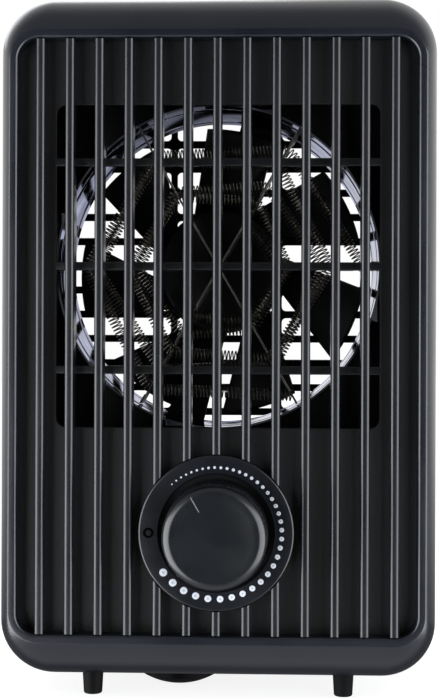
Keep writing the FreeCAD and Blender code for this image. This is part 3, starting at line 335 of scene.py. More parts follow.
def finish(name, effect, dark, light, rough, bump, sizes=None, dust=0.0, gloss=None):
    """Material: effect mask mixes dark to light and the two roughnesses, effect height makes the bump."""
    material = bpy.data.materials.new(f"{name}_finish")
    material.use_nodes = True
    tree = material.node_tree
    shader = tree.nodes["Principled BSDF"]
    skin = node(tree, "Group", node_tree=effect)
    for label, size in (sizes or {}).items():
        skin.inputs[label].default_value = size
    tint = node(tree, "Mix", data_type="RGBA")
    tint.inputs[MIX_FIRST].default_value = (*dark, 1.0)
    tint.inputs[MIX_SECOND].default_value = (*light, 1.0)
    tree.links.new(skin.outputs["Mask"], tint.inputs[MIX_SHARE])
    colour = tint.outputs[MIX_RESULT]
    if dust:
        thin = node(tree, "Math", operation="MULTIPLY")
        thin.inputs[1].default_value = dust
        tree.links.new(skin.outputs["Dust"], thin.inputs[0])
        film = node(tree, "Mix", data_type="RGBA")
        film.inputs[MIX_SECOND].default_value = DUST_COLOUR
        tree.links.new(thin.outputs[0], film.inputs[MIX_SHARE])
        tree.links.new(colour, film.inputs[MIX_FIRST])
        colour = film.outputs[MIX_RESULT]
    tree.links.new(colour, shader.inputs["Base Color"])
    spread = ranged(tree, skin.outputs["Mask"], (0, 1), rough)
    tree.links.new(spread.outputs["Result"], shader.inputs["Roughness"])
    relief = node(tree, "Bump")
    relief.inputs["Distance"].default_value = bump
    tree.links.new(skin.outputs["Height"], relief.inputs["Height"])
    tree.links.new(relief.outputs["Normal"], shader.inputs["Normal"])
    for label, value in (gloss or {}).items():
        shader.inputs[label].default_value = value
    return material


def shine(level):
    """How strongly a plastic mirrors, where 0.5 is the usual."""
    return {"Specular IOR Level": level}


METAL = {"Metallic": 1.0}
# Painted reflection: the blue tint gives the duct ring's mirror images their blue-lavender cast.
METAL_WITH_PAINTED_BLUE_REFLECTION = {**METAL, "Specular Tint": (0.52, 0.54, 0.68, 1.0)}
COARSE = {"Grain Size": 0.7 * MM, "Haze Size": 45 * MM}
FINE = {"Grain Size": 0.45 * MM, "Haze Size": 18 * MM}
print("grains:", COARSE, FINE)

# %% [markdown]
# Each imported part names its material, and each material gets a recipe. The values could be set one by one
# in the shader editor, but side by side the many blacks are easier to compare: the case is a soft navy
# black, the dial a little deeper, and the feet, the fan and the tip-over button are dull. Plastics and
# rubber take the moulded grain, bright sheet and screws the streaks, mica and the ceramic of fuse and
# cut-out the flakes, and the other metals and the magnets the oxide.

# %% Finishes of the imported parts
recipes = {
    "case_plastic": dict(
        effect=GRAIN, sizes=COARSE, dark=(0.0020, 0.0026, 0.0056), light=(0.0029, 0.0038, 0.0073),
        rough=(0.25, 0.31), bump=0.02 * MM, dust=0.03),
    "grille_plastic": dict(
        effect=GRAIN, sizes=COARSE, dark=(0.0021, 0.0026, 0.0042), light=(0.0030, 0.0037, 0.0056),
        rough=(0.26, 0.32), bump=0.010 * MM),
    "dial_plastic": dict(
        effect=GRAIN, sizes=FINE, dark=(0.0020, 0.0026, 0.0042), light=(0.0029, 0.0037, 0.0056),
        rough=(0.24, 0.30), bump=0.012 * MM),
    "knob_plastic": dict(
        effect=GRAIN, sizes=FINE, dark=(0.0018, 0.0025, 0.0037), light=(0.0026, 0.0035, 0.0048),
        rough=(0.25, 0.30), bump=0.012 * MM),
    "foot_rubber": dict(
        effect=GRAIN, sizes=FINE, dark=(0.0012, 0.0012, 0.0013), light=(0.002, 0.002, 0.0021),
        rough=(0.55, 0.7), bump=0.03 * MM, gloss=shine(0.05)),
    "button_plastic": dict(
        effect=GRAIN, sizes=FINE, dark=(0.0015, 0.0015, 0.0016), light=(0.002, 0.002, 0.0022),
        rough=(0.3, 0.4), bump=0.004 * MM, gloss=shine(0.015)),
    "inner_plastic": dict(
        effect=GRAIN, sizes=FINE, dark=(0.012, 0.012, 0.013), light=(0.02, 0.02, 0.021),
        rough=(0.45, 0.55), bump=0.02 * MM),
    "fan_plastic": dict(
        effect=GRAIN, sizes=COARSE, dark=(0.0018, 0.0016, 0.0016), light=(0.0028, 0.0026, 0.0026),
        rough=(0.45, 0.55), bump=0.02 * MM, gloss=shine(0.2)),
    # Painted reflection on the duct ring: the patch mask mixes its bright steel with near-black blue, for
    # the dark things it mirrors.
    "duct_steel": dict(
        effect=STREAKS, sizes={"Stain And Reflection Size": 18 * MM}, dark=(0.05, 0.055, 0.10), light=(0.74, 0.76, 0.88),
        rough=(0.03, 0.09), bump=0.004 * MM, gloss=METAL_WITH_PAINTED_BLUE_REFLECTION),
    "mica": dict(
        effect=FLAKES, dark=(0.07, 0.065, 0.058), light=(0.17, 0.16, 0.14),
        rough=(0.25, 0.5), bump=0.03 * MM),
    "heating_wire": dict(
        effect=OXIDE, dark=(0.10, 0.094, 0.078), light=(0.22, 0.205, 0.17),
        rough=(0.26, 0.38), bump=0.004 * MM, gloss=METAL),
    "zinc_steel": dict(
        effect=STREAKS, dark=(0.38, 0.39, 0.41), light=(0.5, 0.5, 0.52),
        rough=(0.3, 0.45), bump=0.01 * MM, gloss=METAL),
    "black_steel": dict(
        effect=OXIDE, sizes={"Patch Size": 8 * MM}, dark=(0.0025, 0.0022, 0.0022),
        light=(0.005, 0.0045, 0.0045), rough=(0.45, 0.6), bump=0.01 * MM, gloss=shine(0.2)),
    "rotor_iron": dict(
        effect=OXIDE, dark=(0.2, 0.19, 0.18), light=(0.3, 0.29, 0.28),
        rough=(0.4, 0.55), bump=0.02 * MM, gloss=METAL),
    "magnet_ceramic": dict(
        effect=OXIDE, dark=(0.03, 0.03, 0.032), light=(0.05, 0.05, 0.052),
        rough=(0.5, 0.65), bump=0.02 * MM),
    "bush_bronze": dict(
        effect=OXIDE, dark=(0.42, 0.24, 0.1), light=(0.55, 0.34, 0.16),
        rough=(0.3, 0.45), bump=0.01 * MM, gloss=METAL),
    "guard_ceramic": dict(
        effect=FLAKES, dark=(0.45, 0.43, 0.38), light=(0.6, 0.58, 0.52),
        rough=(0.4, 0.6), bump=0.02 * MM),
    "screw_steel": dict(
        effect=STREAKS, sizes={"Streak Size": 0.6 * MM}, dark=(0.30, 0.31, 0.33), light=(0.42, 0.43, 0.45),
        rough=(0.25, 0.4), bump=0.006 * MM, gloss=METAL),
}
finishes = {name: finish(name, **recipe) for name, recipe in recipes.items()}
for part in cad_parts.values():
    packed_slot = part.material_slots[0]
    packed_slot.material = finishes[packed_slot.material.name]
print("finishes:", len(finishes), "given to", len(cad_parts), "parts")

# %% [markdown]
# The marks on the dial and knob take colours that no imported part has: pale dots with a grey pit and a
# matt black ring at the off place, printed in inks, and a grey pointer line, which is a painted highlight
# of the light the pointer's groove catches. The panel behind the ribs gets a rougher
# grain than they do. So do the flat walls of the case behind the bezel, and the rear cover: a polished
# flat wall would mirror a whole light box and look like metal.

# %% Inks and rougher grains
extra_recipes = {
    "panel_grain": dict(
        effect=GRAIN, sizes=COARSE, dark=(0.0024, 0.0026, 0.0032), light=(0.0034, 0.0037, 0.0044),
        rough=(0.42, 0.5), bump=0.02 * MM, gloss=shine(0.3)),
    "sleeve_grain": dict(
        effect=GRAIN, sizes=COARSE, dark=(0.0050, 0.0054, 0.0070), light=(0.0066, 0.0071, 0.0090),
        rough=(0.46, 0.54), bump=0.03 * MM, dust=0.03, gloss=shine(0.12)),
    "pit_ink": dict(
        effect=GRAIN, sizes=FINE, dark=(0.18, 0.195, 0.22), light=(0.22, 0.24, 0.27),
        rough=(0.4, 0.5), bump=0.01 * MM),
    "pale_ink": dict(
        effect=GRAIN, sizes=FINE, dark=(0.33, 0.35, 0.375), light=(0.40, 0.42, 0.45),
        rough=(0.4, 0.5), bump=0.01 * MM),
    # The pointer's grey is a painted highlight: the light that the edge of the knob's pointer groove
    # catches.
    "pointer_highlight_paint": dict(
        effect=GRAIN, sizes=FINE, dark=(0.08, 0.085, 0.09), light=(0.11, 0.115, 0.12),
        rough=(0.3, 0.4), bump=0.01 * MM),
    "black_ink": dict(
        effect=GRAIN, sizes=FINE, dark=(0.0008, 0.0008, 0.0008), light=(0.0014, 0.0014, 0.0014),
        rough=(0.5, 0.6), bump=0.004 * MM, gloss=shine(0.0)),
}
extras = {name: finish(name, **recipe) for name, recipe in extra_recipes.items()}
print("extra finishes:", list(extras))

# %% [markdown]
# Pieces are grids of points whose columns run round. They could be pushed into shape from cubes, but a
# grid follows its formula at every point, and a new size is one new value. A helper sews grids into a
# mesh and merges doubles, so a row drawn together to a point becomes a pole. Two more close a stack of
# rows, either end to end or at each end.

# %% Sewing grids
MERGE = 1e-6


def sew(name, grids):
    """Mesh from grids points[row, column]: quads join neighbours, the last column joins the first, doubles
    are merged, and faces are turned outwards."""
    corners, quads, start = [], [], 0
    for points in grids:
        rows, columns = points.shape[:2]
        index = start + np.arange(rows * columns).reshape(rows, columns)
        index = np.concatenate([index, index[:, :1]], axis=1)
        around = [index[:-1, :-1], index[1:, :-1], index[1:, 1:], index[:-1, 1:]]
        quads.append(np.stack(around, axis=-1).reshape(-1, 4))
        corners.append(points.reshape(-1, 3))
        start += rows * columns
    mesh = bpy.data.meshes.new(name)
    mesh.from_pydata(np.concatenate(corners).tolist(), [], np.concatenate(quads).tolist())
    shape = bmesh.new()
    shape.from_mesh(mesh)
    bmesh.ops.remove_doubles(shape, verts=shape.verts, dist=MERGE)
    bmesh.ops.recalc_face_normals(shape, faces=shape.faces)
    shape.to_mesh(mesh)
    shape.free()
    return mesh


def looped(rows):
    """Rows whose last meets the first, for a closed profile."""
    return np.concatenate([rows, rows[:1]])


def capped(rows):
    """Rows closed at both ends, where the middle of the first and of the last row becomes a pole."""
    first, last = (np.broadcast_to(rows[end].mean(axis=0), rows[end].shape)[None] for end in (0, -1))
    return np.concatenate([first, rows, last])


print("points closer than", MERGE, "m become one")

# %% [markdown]
# Many parts here are round about an axis. The Spin tool or a Screw modifier would turn an outline as well,
# but an array of angles does it in one step and leaves every point where the formula says. The rounds of
# an outline are stretches of arc.

# %% Turning profiles
def arc(centre, radius, start, end, steps=8):
    """Points (a, b) of an arc: centre + radius * (cos, sin) from one angle to another, in degrees."""
    angle = np.radians(np.linspace(start, end, steps + 1))
    return np.stack([centre[0] + radius * np.cos(angle), centre[1] + radius * np.sin(angle)], axis=-1)


def turned(profile, axis, centre, steps=96):
    """Profile (radius, along) carried round an axis: centre + radius * (cos, sin) + along * axis."""
    profile = np.array(profile)
    angle = np.linspace(0, TURN, steps, endpoint=False)
    first = profile[:, :1] * np.cos(angle)
    second = profile[:, :1] * np.sin(angle)
    along = np.broadcast_to(profile[:, 1:], first.shape)
    order = {"y": (first, along, second), "z": (first, second, along)}[axis]
    return np.stack(order, axis=-1) + np.array(centre)


print("a test arc has", len(arc((0, 0), 1, 0, 90)), "points")

# %% [markdown]
# A finished piece is smooth but for its sharp edges, rides on a moving body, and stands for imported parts.
# Holes could be left open in a grid, but its rows would have to bend round each of them, so closed shapes
# are carved out of the piece instead. A wall may get a second finish from some depth on.

# %% Pieces, carving and a second finish
SMOOTH_BELOW = math.radians(34)


def piece(name, grids, material, body="case", stands_for=()):
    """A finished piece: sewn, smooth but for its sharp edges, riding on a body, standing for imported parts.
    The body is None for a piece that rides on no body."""
    mesh = sew(name, grids)
    mesh.shade_smooth()
    mesh.set_sharp_from_angle(angle=SMOOTH_BELOW)
    mesh.materials.append(material)
    made = bpy.data.objects.new(name, mesh)
    scene.collection.objects.link(made)
    if body:
        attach(made, body)
    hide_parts(*stands_for)
    print(name, len(mesh.polygons), "faces", "on", body)
    return made


def carve(made, tools):
    """Take closed shapes away from a piece, keep the result as its mesh, and keep its flat faces flat."""
    cutter = bpy.data.objects.new("cutter", sew("cutter", tools))
    scene.collection.objects.link(cutter)
    cut = made.modifiers.new("carve", "BOOLEAN")
    cut.object, cut.operation, cut.solver = cutter, "DIFFERENCE", "EXACT"
    whole = made.data
    evaluated = made.evaluated_get(bpy.context.evaluated_depsgraph_get())
    made.data = bpy.data.meshes.new_from_object(evaluated)
    made.modifiers.clear()
    made.data.shade_smooth()
    made.data.set_sharp_from_angle(angle=SMOOTH_BELOW)
    bpy.data.objects.remove(cutter)
    bpy.data.meshes.remove(whole)
    made.data.name = made.name
    made.modifiers.new("flat_faces", "WEIGHTED_NORMAL").keep_sharp = True
    print(made.name, "carved with", len(tools), "tools:", len(made.data.polygons), "faces")


def refinish_behind(made, material, depth_y):
    """Give a second finish to the faces of a piece whose centres lie behind a depth."""
    mesh = made.data
    mesh.materials.append(material)
    centres = np.empty(3 * len(mesh.polygons), dtype=np.float32)
    mesh.polygons.foreach_get("center", centres)
    behind = centres.reshape(-1, 3)[:, 1] > depth_y
    mesh.polygons.foreach_set("material_index", behind.astype(np.int32))
    print(made.name, "has", int(behind.sum()), "faces of", material.name)


print("edges over", round(math.degrees(SMOOTH_BELOW)), "degrees stay sharp")

# %% [markdown]
# The case is a sleeve whose cross-section is always a rounded rectangle. So it is one closed profile
# carried round that rectangle: up the window wall, over the rounded lip, along the flat lip, out over the
# curved bezel, back along the side to the split, and home again inside. A box with a Bevel modifier would
# get the same round on all sides, but the bezel is wide above and below and narrow at the sides, so
# rectangles of changing size are stacked. The hole for the button is carved from the base.

# %% Housing
wall = 2.5 * MM
corner_radius = 22.5 * MM
bezel_depth, bezel_side, bezel_top = 20 * MM, 5.5 * MM, 15.5 * MM
bezel_start = math.radians(25)
lip_width, lip_depth, lip_radius, lip_round = 3.3 * MM, 8 * MM, 12 * MM, 1.2 * MM
crease, seam = 0.2 * MM, 0.4 * MM
window_radius = 8.5 * MM
flange_side, flange_top, seat_depth = 2.4 * MM, 9 * MM, 6 * MM
fit_gap = 0.3 * MM
window_wide = body_wide - 2 * (bezel_side + lip_width)
window_high = body_high - 2 * (bezel_top + lip_width)
seat_wide = window_wide + 2 * (flange_side + fit_gap)
seat_high = window_high + 2 * (flange_top + fit_gap)
CORNER_STEPS, BEZEL_ROWS = 16, 20


def rounded_rectangles(wide, high, radius, depth, centre_x=0.0, centre_z=mid_z, steps=CORNER_STEPS):
    """Stack of rounded rectangles that face the front: corner centre + radius * (cos, sin), row by row."""
    given = (wide, high, radius, depth, centre_x, centre_z)
    rows = np.broadcast_arrays(*(np.atleast_1d(row) for row in given))
    wide, high, radius, depth, centre_x, centre_z = (row[:, None, None] for row in rows)
    angle = np.radians(np.arange(4)[:, None] * 90 + np.linspace(0, 90, steps + 1))[None]
    right = np.array([1, -1, -1, 1])[None, :, None]
    up = np.array([1, 1, -1, -1])[None, :, None]
    x = centre_x + right * (wide / 2 - radius) + radius * np.cos(angle)
    z = centre_z + up * (high / 2 - radius) + radius * np.sin(angle)
    y = np.broadcast_to(front_y + depth, x.shape)
    return np.stack([x, y, z], axis=-1).reshape(len(wide), -1, 3)


def housing_rows():
    """Rows (wide, high, radius, depth) of the sleeve's closed profile, from the window wall outwards."""
    edge = arc((lip_round, lip_round), lip_round, 180, 270)
    flat = [[lip_width - crease, 0.0]]
    grown, deep = np.concatenate([[[0.0, lip_depth]], edge, flat]).T
    lip = np.stack([window_wide + 2 * grown, window_high + 2 * grown,
                    window_radius + grown * (lip_radius - window_radius) / lip_width, deep], axis=-1)
    lean = np.linspace(bezel_start + crease / bezel_top, math.pi / 2, BEZEL_ROWS)
    inset = (1 - np.sin(lean)) / (1 - math.sin(bezel_start))
    depth = bezel_depth * (math.cos(bezel_start) - np.cos(lean)) / math.cos(bezel_start)
    bezel = np.stack([body_wide - 2 * bezel_side * inset, body_high - 2 * bezel_top * inset,
                      corner_radius - (corner_radius - lip_radius) * inset, depth], axis=-1)
    inner, seat_radius = corner_radius - wall, window_radius + flange_side
    back = np.array([
        [body_wide, body_high, corner_radius, body_deep - seam],
        [body_wide - 2 * seam, body_high - 2 * seam, corner_radius - seam, body_deep],
        [body_wide - 2 * wall, body_high - 2 * wall, inner, body_deep],
        [body_wide - 2 * wall, body_high - 2 * wall, inner, lip_depth + seat_depth],
        [seat_wide, seat_high, seat_radius, lip_depth + seat_depth],
        [seat_wide, seat_high, seat_radius, lip_depth],
    ])
    return np.concatenate([lip, bezel, back])


plunger_x, plunger_y = middle("tip_plunger")[:2]
plunger_radius, plunger_gap = 16 * MM, 0.6 * MM
housing = piece("case_shell", [looped(rounded_rectangles(*housing_rows().T))],
                finishes["case_plastic"], stands_for=["housing"])
button_hole = [(plunger_radius + plunger_gap, level) for level in (base_z - wall, base_z + 2 * wall)]
carve(housing, [capped(turned(button_hole, "z", (plunger_x, plunger_y, 0)))])
refinish_behind(housing, extras["sleeve_grain"], front_y + bezel_depth)

# %% [markdown]
# Four posts stand inside the case for the screws of the rear cover. They could be drawn out of the case's
# own grid, but as grids of their own they stay simple: a turned post with a pilot hole, and a flat web
# that ties it to the side wall.

# %% Posts inside the case
post_inset, post_drop, post_radius, post_start = 12 * MM, 23 * MM, 4.5 * MM, 13 * MM
post_web, web_round, web_sink = 3 * MM, 0.2 * MM, 0.45 * MM
pilot_radius, pilot_depth = 1.45 * MM, 11 * MM
post_x = body_wide / 2 - wall - post_inset
post_z = body_high / 2 - wall - post_drop
POSTS = [(across * post_x, mid_z + up * post_z) for across in (-1, 1) for up in (-1, 1)]


def post(x, z):
    """Turned post that runs back to the split, with a pilot hole from behind."""
    pilot_end = body_deep - pilot_depth
    profile = [(0, post_start), (post_radius, post_start), (post_radius, body_deep),
               (pilot_radius, body_deep), (pilot_radius, pilot_end), (0, pilot_end)]
    return turned(profile, "y", (x, front_y, z), steps=32)


def web(x, z):
    """Flat web from a post's skin into the side wall."""
    near, far = post_x + post_radius - web_sink, body_wide / 2 - wall / 2
    centre = np.sign(x) * (near + far) / 2
    depths = np.array([post_start, body_deep])
    return capped(rounded_rectangles(far - near, post_web, web_round, depths, centre, z, steps=2))


piece("case_posts", [grid(x, z) for x, z in POSTS for grid in (post, web)],
      finishes["case_plastic"], stands_for=["housing"])

# %% [markdown]
# The rear cover is a shallow tray: the same stack of rectangles, from its flat back over the rounded edge
# to the split and inside again. Its slots, screw wells and cord hole could be cut square and bevelled
# afterwards, but a bevel on so many edges is hard to steer. So the cutters' mouths flare along an arc,
# which leaves a small round on every edge.

# %% Rear cover
cover_back = span("rear_cover")[1][1] - front_y
rear_round, flat_margin = 8 * MM, 0.5 * MM
slot_levels, slot_pitch, slot_columns = np.arange(-6, 7), 11.6 * MM, (-50 * MM, 0.0, 50 * MM)
slot_long, slot_high, slot_radius = 47 * MM, 8.2 * MM, 2 * MM
mouth_round, mouth_end, mouth_overrun = 0.7 * MM, 105, 0.5 * MM
head_radius, head_gap, screw_seat = 2.8 * MM, 0.3 * MM, 4 * MM
gland_x, gland_z = middle("cord_gland")[0], middle("cord_gland")[2]
gland_radius, gland_gap = 7 * MM, 0.05 * MM
REAR_ROWS, MOUTH_STEPS = 11, 5


def cover_rows():
    """Rows (wide, high, radius, depth) from the flat back over the rounded edge to the inner floor."""
    lean = np.radians(np.linspace(90, 0, REAR_ROWS))
    inset = np.concatenate([[rear_round + flat_margin], rear_round * (1 - np.cos(lean)), [0, seam]])
    depth = np.concatenate([[cover_back], cover_back - rear_round * (1 - np.sin(lean)),
                            [body_deep + seam, body_deep]])
    step = np.array([wall, wall, 2 * wall, 2 * wall])
    level = np.array([body_deep, cover_back - rear_round, cover_back - rear_round, cover_back - wall])
    inset, depth = np.concatenate([inset, step]), np.concatenate([depth, level])
    return np.stack([body_wide - 2 * inset, body_high - 2 * inset, corner_radius - inset, depth], axis=-1)


def mouth():
    """Growth and depth of a cutter through the back: straight, then an arc that flares past its face."""
    flare = arc((mouth_round, cover_back - mouth_round), mouth_round, 180, mouth_end, MOUTH_STEPS)
    out = math.radians(mouth_end)
    past = flare[-1:] + mouth_overrun * np.array([[math.sin(out), -math.cos(out)]])
    return np.concatenate([[[0, cover_back - 2 * wall]], flare, past])


def slot_cutter(x, z):
    """Closed cutter for one slot."""
    grow, depth = mouth().T
    wide, high = slot_long + 2 * grow, slot_high + 2 * grow
    return capped(rounded_rectangles(wide, high, slot_radius + grow, depth, x, z, steps=5))


def hole_cutter(radius, x, z):
    """Closed cutter for one round hole."""
    return capped(turned(mouth() + np.array([[radius, 0]]), "y", (x, front_y, z), steps=48))


cover = piece("rear_shell", [capped(rounded_rectangles(*cover_rows().T))],
              extras["sleeve_grain"], stands_for=["rear_cover"])
well_holes = [hole_cutter(head_radius + head_gap, x, z) for x, z in POSTS]
slots = [slot_cutter(x, duct_z + level * slot_pitch) for level in slot_levels for x in slot_columns]
carve(cover, slots + well_holes + [hole_cutter(gland_radius + gland_gap, gland_x, gland_z)])

# %% [markdown]
# Each rear screw sits at the bottom of a well, a tube that reaches forward to the split. The cover's grid
# could be drawn in to form it, but rows of rectangles don't turn into circles without a seam. So the
# wells are turned tubes of their own that dip into the back wall.

# %% Screw wells
screw_radius = 1.4 * MM
well_floor = body_deep + screw_seat


def well(x, z):
    """Closed profile of one screw well, which dips into the back wall, turned about the screw's axis."""
    bore, end = head_radius + head_gap, cover_back - wall / 2
    profile = [(post_radius, body_deep), (post_radius, end), (bore, end), (bore, well_floor),
               (screw_radius + head_gap, well_floor), (screw_radius + head_gap, body_deep)]
    return looped(turned(profile, "y", (x, front_y, z), steps=40))


piece("screw_wells", [well(x, z) for x, z in POSTS], extras["sleeve_grain"],
      stands_for=["rear_cover"])

# %% [markdown]
# A screw's head shows a sunk cross. It could be carved with two bars, but on a polar grid the height is a
# formula, a dome less a cross with sloping walls, and the turned rim and shank follow as further rows.

# %% Cross-head screws
screw_long, head_high = 14 * MM, 1.8 * MM
cross_half, cross_long, cross_slope, cross_sink = 0.4 * MM, 1.7 * MM, 0.25 * MM, 1.0 * MM
dome_sag, dome_reach, rim_high = 0.5, 0.97, 0.7 * MM
HEAD_ROWS, HEAD_COLUMNS = 16, 64


def screw(x, z):
    """Head whose height is a dome less a cross, then the rim, the seat and the shank."""
    angle = np.linspace(0, TURN, HEAD_COLUMNS, endpoint=False)[None]
    radius = np.linspace(0, head_radius * dome_reach, HEAD_ROWS)[:, None]
    across, up = abs(radius * np.cos(angle)), abs(radius * np.sin(angle))
    arms = [np.clip((cross_half - a) / cross_slope, 0, 1) * np.clip((cross_long - b) / cross_slope, 0, 1)
            for a, b in ((across, up), (up, across))]
    rise = head_high * (1 - dome_sag * (radius / head_radius) ** 2) - cross_sink * np.maximum(*arms)
    top = np.stack([radius * np.cos(angle), well_floor + rise, radius * np.sin(angle)], axis=-1)
    rim = [(head_radius, well_floor + rim_high), (head_radius, well_floor)]
    shank_end = well_floor - screw_long
    shank = [(screw_radius, well_floor), (screw_radius, shank_end), (0, shank_end)]
    below = turned(rim + shank, "y", (0, 0, 0), steps=HEAD_COLUMNS)
    return np.concatenate([top, below]) + np.array([x, front_y, z])


piece("cross_screws", [screw(x, z) for x, z in POSTS], finishes["screw_steel"],
      stands_for=["rear_cover_screws"])

# %% [markdown]
# The cord's gland is a rubber ring in the back, held by a flange inside. A ring from the Add menu would be
# round all over, so it is turned from a closed profile that has the flange and a rounded mouth.

# %% Cord gland
gland_bore, gland_flange_radius, gland_flange = 4 * MM, 9.5 * MM, 2.5 * MM
gland_round, gland_chamfer = 1.0 * MM, 0.3 * MM
gland_seat = cover_back - wall
gland_inner = gland_seat - gland_flange
gland_profile = np.concatenate([
    [[gland_bore, gland_inner], [gland_flange_radius, gland_inner], [gland_flange_radius, gland_seat],
     [gland_radius, gland_seat], [gland_radius, cover_back - gland_chamfer],
     [gland_radius - gland_chamfer, cover_back]],
    arc((gland_bore + gland_round, cover_back - gland_round), gland_round, 90, 180, steps=6)])
piece("gland_ring", [looped(turned(gland_profile, "y", (gland_x, front_y, gland_z), steps=64))],
      finishes["foot_rubber"], stands_for=["cord_gland"])

# %% [markdown]
# The front panel lies behind the lip. A plate with a carved opening would need its edge rounded
# afterwards. Instead the panel is a loft between two rounded rectangles, its own rim and the square air
# opening, which is centred on the duct. Only the hole for the thermostat's bush is carved.

# %% Grille panel
panel_thick, edge_round = 2.5 * MM, 0.6 * MM
aperture_side, aperture_radius = 132 * MM, 4 * MM
bush_hole = 5.3 * MM
panel_back = lip_depth + panel_thick


def panel_rows():
    """Rows (wide, high, radius, depth, x, z) from the panel's rim over its face into the air opening."""
    wide, high = window_wide + 2 * flange_side, window_high + 2 * flange_top
    rim = [[wide, high, window_radius + flange_side, depth, 0, mid_z] for depth in (panel_back, lip_depth)]
    edge = arc((-edge_round, edge_round), edge_round, 270, 360, steps=5)
    side = aperture_side - 2 * edge[:, 0]
    opening = np.stack([side, side, aperture_radius - edge[:, 0], lip_depth + edge[:, 1],
                        np.zeros(len(edge)), np.full(len(edge), duct_z)], axis=-1)
    rear = [[aperture_side, aperture_side, aperture_radius, panel_back, 0, duct_z]]
    return np.concatenate([rim, opening, rear])


panel = piece("grille_panel", [looped(rounded_rectangles(*panel_rows().T))],
              extras["panel_grain"], stands_for=["front_grille"])
bush_profile = [(bush_hole, 0), (bush_hole, 2 * panel_back)]
carve(panel, [capped(turned(bush_profile, "y", (0, front_y, knob_z), steps=48))])

# %% [markdown]
# Three cross bars span the air opening and hold the ribs there, and four short bosses behind carry the
# duct. A stretched cube would have hard edges, so a bar is one rounded section carried along X. A boss is
# turned. The bosses stand in line with the motor's strap, on which the thermal fuse sits.

# %% Cross bars and bosses
bar_high, bar_pitch = 3.4 * MM, 42.6 * MM
boss_radius, boss_high, tab_circle = 3.1 * MM, 5 * MM, 72 * MM
fuse = middle("thermal_fuse")
strap_angle = math.atan2(fuse[2] - duct_z, fuse[0])
quarters = strap_angle + np.arange(4) * math.pi / 2


def bar(level):
    """Rounded section (depth, height) carried along X, drawn to a point at each end."""
    half_deep, half_high = panel_thick / 2 - edge_round, bar_high / 2 - edge_round
    corners = ((1, 1, 0), (-1, 1, 90), (-1, -1, 180), (1, -1, 270))
    section = np.concatenate([
        arc((back * half_deep, up * half_high), edge_round, start, start + 90, steps=4)
        for back, up, start in corners])
    x = np.array([[-1.0], [1.0]]) * (aperture_side / 2 + edge_round)
    y = np.broadcast_to(front_y + lip_depth + panel_thick / 2 + section[:, 0], (2, len(section)))
    z = np.broadcast_to(duct_z + level * bar_pitch + section[:, 1], y.shape)
    return capped(np.stack([np.broadcast_to(x, y.shape), y, z], axis=-1))


def boss(angle):
    """Turned boss behind the panel, on the circle of the duct's tabs."""
    root, end = lip_depth + panel_thick / 2, panel_back + boss_high
    profile = [(0, root), (boss_radius, root), (boss_radius, end), (pilot_radius, end), (0, panel_back)]
    centre = (tab_circle * math.cos(angle), front_y, duct_z + tab_circle * math.sin(angle))
    return turned(profile, "y", centre, steps=32)


piece("grille_bars", [bar(level) for level in (-1, 0, 1)] + [boss(angle) for angle in quarters],
      finishes["grille_plastic"], stands_for=["front_grille"])

# %% [markdown]
# Thirteen ribs stand on the panel, flush with the lip. A rib is a flat bar with two rounded front edges,
# and those edges carry the bright lines of the picture. Where a rib meets the dial it stops along the
# dial's circle. That circle could be carved out of all of them, but it is enough to give each point of
# the section its own end height.

# %% Ribs
rib_count = 13
rib_width, rib_round, rib_margin = 3.7 * MM, 1.3 * MM, 9.2 * MM
dial_radius = (span("dial_plate")[1] - span("dial_plate")[0])[0] / 2
rib_pitch = (window_wide - 2 * rib_margin) / (rib_count - 1)
rib_low, rib_high = mid_z - window_high / 2 + fit_gap, mid_z + window_high / 2 - fit_gap


def rib_section():
    """Section (x, depth) of a rib: up one side, over both rounded edges, down the other."""
    half, foot = rib_width / 2, lip_depth + panel_thick / 2
    left = arc((rib_round - half, rib_round), rib_round, 180, 270)
    right = arc((half - rib_round, rib_round), rib_round, 270, 360)
    return np.concatenate([[[-half, foot]], left, right, [[half, foot]]])


def rib(x, low, high):
    """Section carried up Z from low to high, either of which may differ from point to point."""
    across, depth = (rib_section() + np.array([x, front_y])).T
    return capped(np.stack([np.stack([across, depth, np.broadcast_to(level, across.shape)], axis=-1)
                            for level in (low, high)]))


def dial_rise(across):
    """Height of the dial's circle, with its gap, above the knob axis at places across."""
    return np.sqrt((dial_radius + fit_gap) ** 2 - across ** 2)


rib_grids = []
for rib_x in (np.arange(rib_count) - (rib_count - 1) / 2) * rib_pitch:
    if abs(rib_x) + rib_width / 2 < dial_radius:
        rise = dial_rise(rib_x + rib_section()[:, 0])
        rib_grids += [rib(rib_x, knob_z + rise, rib_high), rib(rib_x, rib_low, knob_z - rise)]
    else:
        rib_grids.append(rib(rib_x, rib_low, rib_high))
piece("grille_ribs", rib_grids, finishes["grille_plastic"], stands_for=["front_grille"])

# %% [markdown]
# The dial is a flat ring let into the ribs. A plain disc would do from afar, but the edges of the real one
# catch the light, so it is turned from a profile with a small round on each edge.

# %% Dial plate
dial_round, well_radius = 0.8 * MM, 23.6 * MM
dial_profile = np.concatenate([
    [[well_radius, lip_depth]],
    arc((well_radius + dial_round, dial_round), dial_round, 180, 270),
    arc((dial_radius - dial_round, dial_round), dial_round, 270, 360),
    [[dial_radius, lip_depth]]])
dial_axis = (0, front_y, knob_z)
piece("dial_ring", [looped(turned(dial_profile, "y", dial_axis, steps=160))],
      finishes["dial_plastic"], stands_for=["dial_plate"])

# %% [markdown]
# The printed scale is a row of dots that grow clockwise as the heat does, and a black ring marks the off
# place. The shader could paint them, but ink lies on the face and has an edge. So each dot is a low dome,
# the larger ones with a grey pit, and the off mark is a thin flattened ring.

# %% Dial marks
dot_count, dot_circle = 38, 26.6 * MM
dot_first, dot_sweep, dot_even, dot_late = -42.2, 275.2, 0.672, 0.328
dot_small, dot_growth, dot_swell = 0.7 * MM, 1.9 * MM, 0.6 * MM
ink_thick = 0.08 * MM
